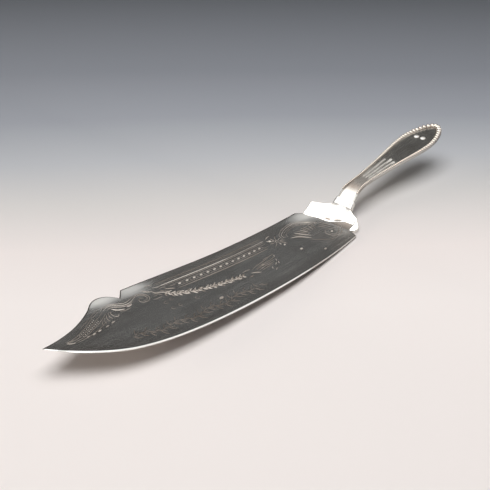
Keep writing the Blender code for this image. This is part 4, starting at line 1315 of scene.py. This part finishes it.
class SERVER_OT_garland(bpy.types.Operator):
    """Engraved laurel garland with a ribbon of leaves at its head and a sprig behind it"""

    bl_idname = "cake_server.garland"
    bl_label = "Engraved garland"

    def execute(self, context):
        """Leaves lean to both sides of a hanging stem; a fan of thin cuts forms the sprig."""
        s = Layout(context).all.engraving
        stem = stroke(GARLAND_STEM, GARLAND_PAIRS) / MM
        cuts = []
        # Uneven sines keep the leaves from looking like a comb.
        for k, (root, angle) in enumerate(zip(stem, headings(stem))):
            reach = 3.0 - 0.9 * k / GARLAND_PAIRS
            for side, phase in ((1, 0), (-1, 2)):
                lean = side * (42.0 + 20.0 * math.sin(2.4 * k + phase))
                long = reach + 0.7 * math.sin(1.7 * k + 2.0 * phase)
                film = 0.42 + 0.38 * math.sin(3.3 * k + phase)
                cuts.append((leaf(root, angle + lean, long, 0.4 * side), 1.6 * s.bold, 0.7, film))
            cuts.append((leaf(root, angle + 25.0 * math.sin(1.1 * k), 1.5, 0), 1.3 * s.bold, 0.7, 0.4))
        cuts += [(points, 0.9 * width * s.bold, 0.7, film + 0.25) for points, width, film in RIBBON]
        cuts += [(points, 1.2 * s.fine, 0.4, 0.76) for points in STRANDS]
        cuts += [(points, 1.2 * s.bold, 0.7, 0.55) for points in SPRIG]
        cuts += [(scroll(at, 1.2, 0.7, 40, 320), s.hair, 0.3, 0.85) for at in GARLAND_CURLS]
        engrave(context, "garland", cuts)
        return {"FINISHED"}


# Rim of the shell in millimetres, and its ribs as rows like those of the ribbon.
SHELL_RIM = [(-42.6, 6), (-41.6, 9.2), (-38, 11.8), (-33, 13.5), (-28, 14.1),
             (-23.6, 13), (-19.6, 10.2), (-16.4, 6.2)]
SHELL_RIBS = (
    ([(-39.4, 3.5), (-35.6, 1.6), (-33, -1.8), (-31.4, -4.7)], 1.7, 0.5),
    ([(-36.4, 4.6), (-34.2, 2.8), (-32.4, 0.4)], 0.7, 0.8),
    ([(-33.8, 5.8), (-32, 2), (-30.6, -0.6), (-29.6, -2.6)], 1.6, 0.52),
    ([(-31.4, 6), (-30.2, 3), (-29.2, 0.4)], 0.7, 0.8),
    ([(-29.2, 5.8), (-28.4, 3), (-27.8, 0.2)], 1.3, 0.6),
    ([(-27.4, 6.6), (-26.8, 4.2), (-26.6, 1.6)], 0.8, 0.75),
    ([(-25.4, 6.4), (-25.2, 3.6), (-25.6, 0.8)], 1, 0.68),
    ([(-22.6, 5.6), (-23, 3), (-24, 0.6)], 1, 0.7),
    ([(-20.4, 4.6), (-21.2, 2.2), (-22.6, 0.2)], 0.9, 0.75),
    ([(-22, 9), (-20.2, 8.4), (-18.4, 6.8)], 1.8, 0.05),
    ([(-17.8, 5.6), (-16.6, 3.8)], 1.4, 0.4),
    ([(-15.6, 4), (-14.2, 0.4), (-13.4, -3.4)], 0.8, 0.65),
    ([(-17.4, 2.4), (-15.8, -1), (-15.2, -4)], 0.7, 0.7),
    ([(-19.4, 2), (-17.8, -1), (-17.4, -3.4)], 0.7, 0.75),
    ([(-9.6, -5), (-11.4, -8.6), (-16, -11.8), (-21.5, -13.4), (-26, -12.6)], 0.8, 0.62),
    ([(-11.4, -4.4), (-13.2, -7.8), (-17, -10.6), (-21.6, -12), (-25.4, -11)], 0.7, 0.7),
    ([(-33.4, -4.6), (-30.4, -8.2), (-27.4, -11.2), (-23.4, -14.6)], 0.6, 0.85),
)

# Eyes of the scroll and of the rosette, and the number and films of the rosette's petals.
SCROLL_EYE, ROSETTE_EYE = (-18.5, -7.6), (-46.8, 6.4)
PETALS, PETAL_FILMS = 9, (0.45, 0.75, 0.6)

# Small pale spots that glint, painted highlights for reflections of the lamps: x, y and length in
# millimetres, width in bold cuts, and film.
PAINTED_GLINTS = (
    (-49.3, 9.1, 1.6, 3.2, 0), (-44, -7.8, 1.9, 3.2, 0), (-35.7, -16.7, 1.8, 2.8, 0.5),
    (-106, -11.3, 2.8, 3.4, 0.45), (-46.6, 1.2, 1.6, 2.2, 0.2), (-18.5, -7.6, 1.6, 3, 0),
)


class SERVER_OT_heel_shell(bpy.types.Operator):
    """Engraved shell with a scroll and a rosette at the heel of the blade"""

    bl_idname = "cake_server.heel_shell"
    bl_label = "Engraved heel shell"

    def execute(self, context):
        """Ribs fall from a rim of four lines; petals stand round an eye; spirals end the rim."""
        s = Layout(context).all.engraving
        cuts = [(beside(SHELL_RIM, -offset), width, 0.25, film) for offset, width, film in (
            (0, s.fine, 0.55), (1.3, s.bold, 0.45), (2.4, s.hair, 0.7), (3.7, s.fine, 0.7))]
        cuts += weigh(SHELL_RIBS, s.bold, 0.5)
        cuts.append((scroll(SCROLL_EYE, 6.2, 2.2, 35, -420), s.fine, 0.3, 0.66))
        cuts.append((scroll(SCROLL_EYE, 5, 1.6, 60, -300), s.hair, 0.3, 0.75))
        for k in range(PETALS):
            angle = 360.0 / PETALS * k + 12.0
            root = leaf(ROSETTE_EYE, angle, 1.2, 0)[-1]
            petal = leaf(root, angle, 4.6 if k % 2 else 3.4, 0.5)
            cuts.append((petal, s.bold, 0.7, PETAL_FILMS[k % 3]))
        cuts.append(([(-49.4, 11.9), (-47.4, 12.8), (-45, 13.2)], 1.4 * s.bold, 0.7, 0.5))
        cuts.append((scroll(ROSETTE_EYE, 1, 0.7, 0, 330), s.fine, 0.3, 0.5))
        # Painted highlights: pale spots where the lamps glint on the blade.
        for x, y, reach, width, film in PAINTED_GLINTS:
            cuts.append(([(x - reach / 2, y), (x + reach / 2, y)], width * s.bold, 0.5, film))
        engrave(context, "heel_shell", cuts)
        return {"FINISHED"}


# Lines of the tip leaf, as rows like those of the ribbon.
TIP_UPPER = [(-180, 5), (-174, 6.6), (-167, 10), (-160, 14.2), (-154, 17.2)]
TIP_MIDDLE = [(-180, 4.6), (-173, 5.4), (-166, 8.4), (-159, 12.2), (-153, 15.6)]
TIP_LOWER = [(-178, 3.4), (-171, 4.4), (-164, 7.2), (-157.5, 10.6), (-152.5, 14)]
TIP_LINES = (
    (TIP_UPPER, 0.8, 0.7), (TIP_MIDDLE, 0.8, 0.7), (TIP_LOWER, 0.8, 0.68),
    ([(-177, 2.6), (-169, 3.4), (-162, 5.6), (-156, 8.6)], 0.7, 0.65),
    ([(-170, 10.2), (-163, 13.8), (-156.6, 17.4), (-151.6, 19.6)], 0.6, 0.75),
    ([(-154, 16.4), (-150.5, 18.4), (-147.5, 18.6), (-144.5, 16.8), (-141.5, 15.2), (-138.5, 15.6),
      (-135, 17.6)], 0.9, 0.4),
    ([(-153, 15.6), (-150, 17.3), (-147.6, 17.2), (-145, 15.2), (-142, 13.7), (-139, 13.9),
      (-136, 15.4), (-133, 17)], 1, 0.2),
    ([(-151.6, 14.8), (-149.4, 15.9), (-147.4, 15.4), (-145, 13.6), (-142.4, 12.6), (-139.6, 12.9),
      (-137, 14)], 0.9, 0.4),
    ([(-149, 15), (-148.4, 13.4), (-147, 12), (-144.4, 10.9)], 1.5, 0.15),
    ([(-142.6, 12), (-141, 11.7), (-139.2, 12.2)], 1.7, 0.15),
    ([(-147.4, 10.6), (-144.6, 9.9), (-141.6, 10.2)], 0.8, 0.6),
    ([(-152, 8.9), (-150.6, 8.2), (-149.2, 9.4)], 1.2, 0.4),
    ([(-150.4, 14), (-151.9, 11.2), (-151.6, 8.4)], 0.8, 0.55),
    ([(-152, 13.4), (-153.6, 10.6), (-153.6, 7.8)], 0.8, 0.6),
    ([(-153.8, 12.4), (-155.6, 9.6), (-155.9, 7)], 0.8, 0.6),
    ([(-155.6, 11.2), (-157.6, 8.6), (-158.2, 6.4)], 0.7, 0.65),
    ([(-157.6, 9.8), (-159.6, 7.6), (-160.4, 5.6)], 0.7, 0.7),
    ([(-180.6, 5.2), (-179.2, 3.8), (-177, 2.9)], 1.2, 0.5),
    ([(-180.2, 5.6), (-178.4, 5.4), (-176.4, 5.2)], 0.8, 0.75),
)

# Curl behind the tip leaf, in millimetres.
TIP_CURL = [(-137.5, 15.4), (-134.5, 17.2), (-131, 16.8), (-129.3, 14.4), (-129.6, 11.4),
            (-131.8, 9.6), (-134.4, 9.9), (-135.2, 12), (-133.8, 13.6), (-132, 12.8)]


# Short fat cuts below the tip leaf: x and y in millimetres, and film.
TIP_SEEDS = ((-170.5, 3.2, 0.6), (-167.4, 3.3, 0.2), (-163.9, 3.9, 0.05), (-159.4, 4.6, 0.45),
             (-155.4, 5.6, 0.5))


class SERVER_OT_tip_leaf(bpy.types.Operator):
    """Engraved leaf behind the tip: sweeping lines that wave over the hump into a scroll"""

    bl_idname = "cake_server.tip_leaf"
    bl_label = "Engraved tip leaf"

    def execute(self, context):
        """Ovals fill the gaps of the sweeping lines; curved cuts fan out below them."""
        s = Layout(context).all.engraving
        cuts = weigh(TIP_LINES, s.bold, 0.4)
        for first, second in ((TIP_UPPER, TIP_MIDDLE), (TIP_MIDDLE, TIP_LOWER)):
            a, b = stroke(first, 40) / MM, stroke(second, 40) / MM
            for p, q in zip(a[10:29:2], b[10:29:2]):
                cuts.append(([mix(p, q, 0.2) + (0.3, 0), mix(p, q, 0.8) - (0.3, 0)], s.fine, 0.5, 0.4))
        for x, y, film in TIP_SEEDS:
            cuts.append((leaf((x - 1.1, y - 0.2), 12, 2.3, 0.1), 1.9 * s.bold, 0.7, film))
        cuts.append((TIP_CURL, 0.8 * s.bold, 0.3, 0.66))
        cuts.append((beside(TIP_CURL[:7], -1.1), s.fine, 0.4, 0.7))
        engrave(context, "tip_leaf", cuts)
        return {"FINISHED"}


# Leafy branch: where it runs in millimetres, and the number of its leaf pairs.
BRANCH_RUN, BRANCH_PAIRS = (-157.0, -85.0), 37


class SERVER_OT_branch(bpy.types.Operator):
    """Engraved leafy branch above the cutting edge, a plain filling"""

    bl_idname = "cake_server.branch"
    bl_label = "Engraved branch"

    def execute(self, context):
        """The stem waves as a sine above the cutting edge; leaves lean to its two sides in turn."""
        lay = Layout(context)
        s = lay.all.engraving
        edge = lay.belly_line() / MM
        x = np.linspace(*BRANCH_RUN, BRANCH_PAIRS)
        wave = s.branch_wave * np.sin(2 * np.pi * (x - x[0]) * MM / s.branch_length)
        stem = np.stack([x, y_at(edge, x) + (s.branch_offset + wave) / MM], axis=-1)
        cuts = [(stem, s.hair, 0.2, 0.9)]
        for k, (root, angle) in enumerate(zip(stem, headings(stem))):
            side = 1.0 if k % 2 else -1.0
            cuts.append((leaf(root, angle + 56.0 * side, 4.6, 0.5 * side), s.fine, 0.7, 0.9))
            cuts.append((leaf(root, angle + 26.0 * side, 3.2, 0.2 * side), s.hair, 0.7, 0.85))
        engrave(context, "leafy_branch", cuts)
        return {"FINISHED"}


# Lamps that light the server and panels that only its polish mirrors: name, place, target, width
# and depth in metres, and the setting that gives the radiance.
LAMPS = (
    ("lamp_overhead", (0.0, 0.0, 1.10), (0.0, 0.0, 0.0), (1.4, 1.0), "lamp"),
    ("panel_overhead", (0.0, 0.0, 1.12), (0.0, 0.0, 0.0), (2.3, 1.9), "ceiling"),
    ("panel_behind", (-0.12, 0.82, 0.60), (-0.12, 0.82, 0.0), (0.92, 1.36), "panel"),
    ("panel_before", (-0.2, -0.9, 0.785), (-0.2, 0.0, 0.785), (3.7, 0.73), "panel"),
    ("panel_low", (1.05, -0.9, 0.235), (1.05, 0.0, 0.235), (1.2, 0.37), "panel"),
    ("panel_left", (-1.2, -0.5, 1.45), (0.0, -0.5, 1.45), (1.6, 0.9), "panel"),
    ("fill_low", (-1.06, 0.80, 0.26), (-0.10, 0.0, 0.0), (0.60, 0.30), "fill"),
)

# Paper floor: points along a side, half of a side in metres, crowding of the points towards the
# middle, how far the sag reaches in sag lengths, half of the server's length, the depths between
# which the paper's colour changes, and its tooth, drawn coarser than it is so that it shows.
FLOOR_POINTS, FLOOR_REACH, FLOOR_CROWDING = 161, 6.0, 5.0
SAG_ACROSS, SAG_ALONG, HALF_SERVER = 14, 5, 0.16
PAPER_NEAR, PAPER_FAR = -0.20, 0.60
PAPER_TOOTH = 0.8 * MM


def softbox(name, place, target, extent, radiance):
    """Area lamp that faces a target; its power follows from radiance times pi times its area."""
    width, depth = extent
    lamp = bpy.data.lights.new(name, "AREA")
    lamp.shape = "RECTANGLE"
    lamp.size, lamp.size_y = width, depth
    lamp.energy = radiance * math.pi * width * depth
    box = bpy.data.objects.new(name, lamp)
    box.location = place
    box.rotation_euler = (Vector(target) - Vector(place)).to_track_quat("-Z", "Y").to_euler()
    bpy.context.scene.collection.objects.link(box)
    return box


class SERVER_OT_stage(bpy.types.Operator):
    """Studio: camera, graduated paper floor, soft lamps and white panels that the polish mirrors"""

    bl_idname = "cake_server.stage"
    bl_label = "Studio"

    def execute(self, context):
        """Studio round the server.

        The floor is a grid of paper that sags under the blade and rises under the handle as a
        hyperbolic tangent. Its colour darkens from the foreground to the back: painted shade that
        stands in for the fall-off of the light.
        """
        scene = context.scene
        s = scene.cake_server.studio
        scene.view_settings.view_transform = "Standard"
        target = Vector((s.target_x, s.target_y, 0.0))
        ahead = Vector((-math.sin(s.azimuth), math.cos(s.azimuth), 0.0))
        away = Vector((-ahead.x * math.cos(s.elevation), -ahead.y * math.cos(s.elevation),
                       math.sin(s.elevation)))
        camera = bpy.data.objects.new("camera", bpy.data.cameras.new("camera"))
        camera.data.lens = s.lens
        camera.data.sensor_width = 36.0
        camera.data.clip_start = 0.01
        camera.location = target + away * s.distance
        camera.rotation_euler = (-away).to_track_quat("-Z", "Y").to_euler()
        scene.collection.objects.link(camera)
        scene.camera = camera

        count = FLOOR_POINTS
        reach = np.sinh(np.linspace(-FLOOR_CROWDING, FLOOR_CROWDING, count))
        reach = FLOOR_REACH * reach / math.sinh(FLOOR_CROWDING)
        x, y = np.meshgrid(reach, reach, indexing="ij")
        heel = Layout(context).stand[0] + s.sag_middle
        away_x = (x - heel) / s.sag_length
        sag = np.where(x < heel, -s.sag * np.tanh(away_x ** 2), s.rise * np.tanh(away_x))
        past = np.maximum(np.abs(x) - HALF_SERVER, 0.0)
        sag = sag * np.exp(-(y / (SAG_ACROSS * s.sag_length)) ** 2)
        sag = sag * np.exp(-(past / (SAG_ALONG * s.sag_length)) ** 2)
        points = np.stack([x, y, sag], axis=-1).reshape(-1, 3)
        i, j = np.meshgrid(np.arange(count - 1), np.arange(count - 1), indexing="ij")
        corner = (i * count + j).ravel()
        quads = np.stack([corner, corner + count, corner + count + 1, corner + 1], axis=-1)
        mesh = bpy.data.meshes.new("paper_floor")
        mesh.from_pydata(points.tolist(), [], quads.tolist())
        mesh.shade_smooth()
        floor = bpy.data.objects.new("paper_floor", mesh)
        scene.collection.objects.link(floor)
        mesh.materials.append(self.paper(s, ahead))

        world = bpy.data.worlds.new("dim_room")
        scene.world = world
        world.use_nodes = True
        world.node_tree.nodes["Background"].inputs["Color"].default_value = (s.sky, s.sky, s.sky, 1.0)

        for name, place, towards, extent, setting in LAMPS:
            box = softbox(name, place, towards, extent, getattr(s, setting))
            box.visible_glossy = name.startswith("panel")
            box.visible_diffuse = not box.visible_glossy
        bpy.data.lights["fill_low"].color = linear(s.fill_colour)[:3]
        return {"FINISHED"}

    def paper(self, s, ahead):
        """Matt coated paper whose colour goes in a soft gradation from cream to grey.

        The gradation is painted shade for the fall-off of the light: the eye sees an even pale
        foreground that shades off behind the handle, with a faint tooth.
        """
        material = bpy.data.materials.new("matt_paper_painted_falloff")
        material.use_nodes = True
        tree = material.node_tree
        shader = tree.nodes["Principled BSDF"]
        shader.inputs["Roughness"].default_value = 0.9
        shader.inputs["Specular IOR Level"].default_value = 0.1
        place = add_node(tree, "ShaderNodeTexCoord").outputs["Object"]
        depth = add_node(tree, "ShaderNodeVectorMath", {0: place, 1: ahead}, operation="DOT_PRODUCT")
        share = add_node(tree, "ShaderNodeMapRange", {
            "Value": depth.outputs["Value"], "From Min": PAPER_NEAR, "From Max": PAPER_FAR})
        band = add_node(tree, "ShaderNodeValToRGB", {"Fac": share.outputs["Result"]})
        # Painted shade: the paper darkens along these stops towards the back.
        stops = ((0.19, s.near_colour), (0.25, s.middle_colour), (0.32, s.turn_colour),
                 (0.39, s.shaded_colour), (0.475, s.far_colour), (0.60, s.dusk_colour),
                 (0.92, s.deep_colour))
        for k, (at, code) in enumerate(stops):
            stop = band.color_ramp.elements[k] if k < 2 else band.color_ramp.elements.new(at)
            stop.position = at
            stop.color = linear(code)
        tree.links.new(band.outputs["Color"], shader.inputs["Base Color"])
        tooth = add_node(tree, "ShaderNodeTexNoise", {"Vector": place, "Scale": 1 / PAPER_TOOTH})
        bump = add_node(tree, "ShaderNodeBump", {
            "Height": tooth.outputs["Fac"], "Strength": 0.05, "Distance": 0.02 * MM})
        tree.links.new(bump.outputs["Normal"], shader.inputs["Normal"])
        return material


OPERATORS = (
    SERVER_OT_stage, SERVER_OT_blade, SERVER_OT_shoulder, SERVER_OT_collar, SERVER_OT_handle,
    SERVER_OT_border, SERVER_OT_pearls, SERVER_OT_spine_border, SERVER_OT_garland,
    SERVER_OT_heel_shell, SERVER_OT_tip_leaf, SERVER_OT_branch,
)


class SERVER_PT_pieces(bpy.types.Panel):
    """Sidebar list of the pieces of the cake server"""

    bl_idname = "SERVER_PT_pieces"
    bl_label = "Cake server"
    bl_space_type = "VIEW_3D"
    bl_region_type = "UI"
    bl_category = "Server"

    def draw(self, context):
        for operator in OPERATORS:
            self.layout.operator(operator.bl_idname)


CLASSES = (
    BladeSizes, ProfileSizes, ShoulderSizes, CollarSizes, HandleSizes, BorderSizes, ReedSizes,
    PearlSizes, EngravingSizes, SilverFinish, StudioSettings, ServerSettings,
) + OPERATORS + (SERVER_PT_pieces,)


def register():
    for item in CLASSES:
        bpy.utils.register_class(item)
    bpy.types.Scene.cake_server = PointerProperty(type=ServerSettings)


def unregister():
    del bpy.types.Scene.cake_server
    for item in reversed(CLASSES):
        bpy.utils.unregister_class(item)


def main():
    """Register the classes and build every piece in order."""
    register()
    for operator in OPERATORS:
        group, name = operator.bl_idname.split(".")
        getattr(getattr(bpy.ops, group), name)()


if __name__ == "__main__":
    main()
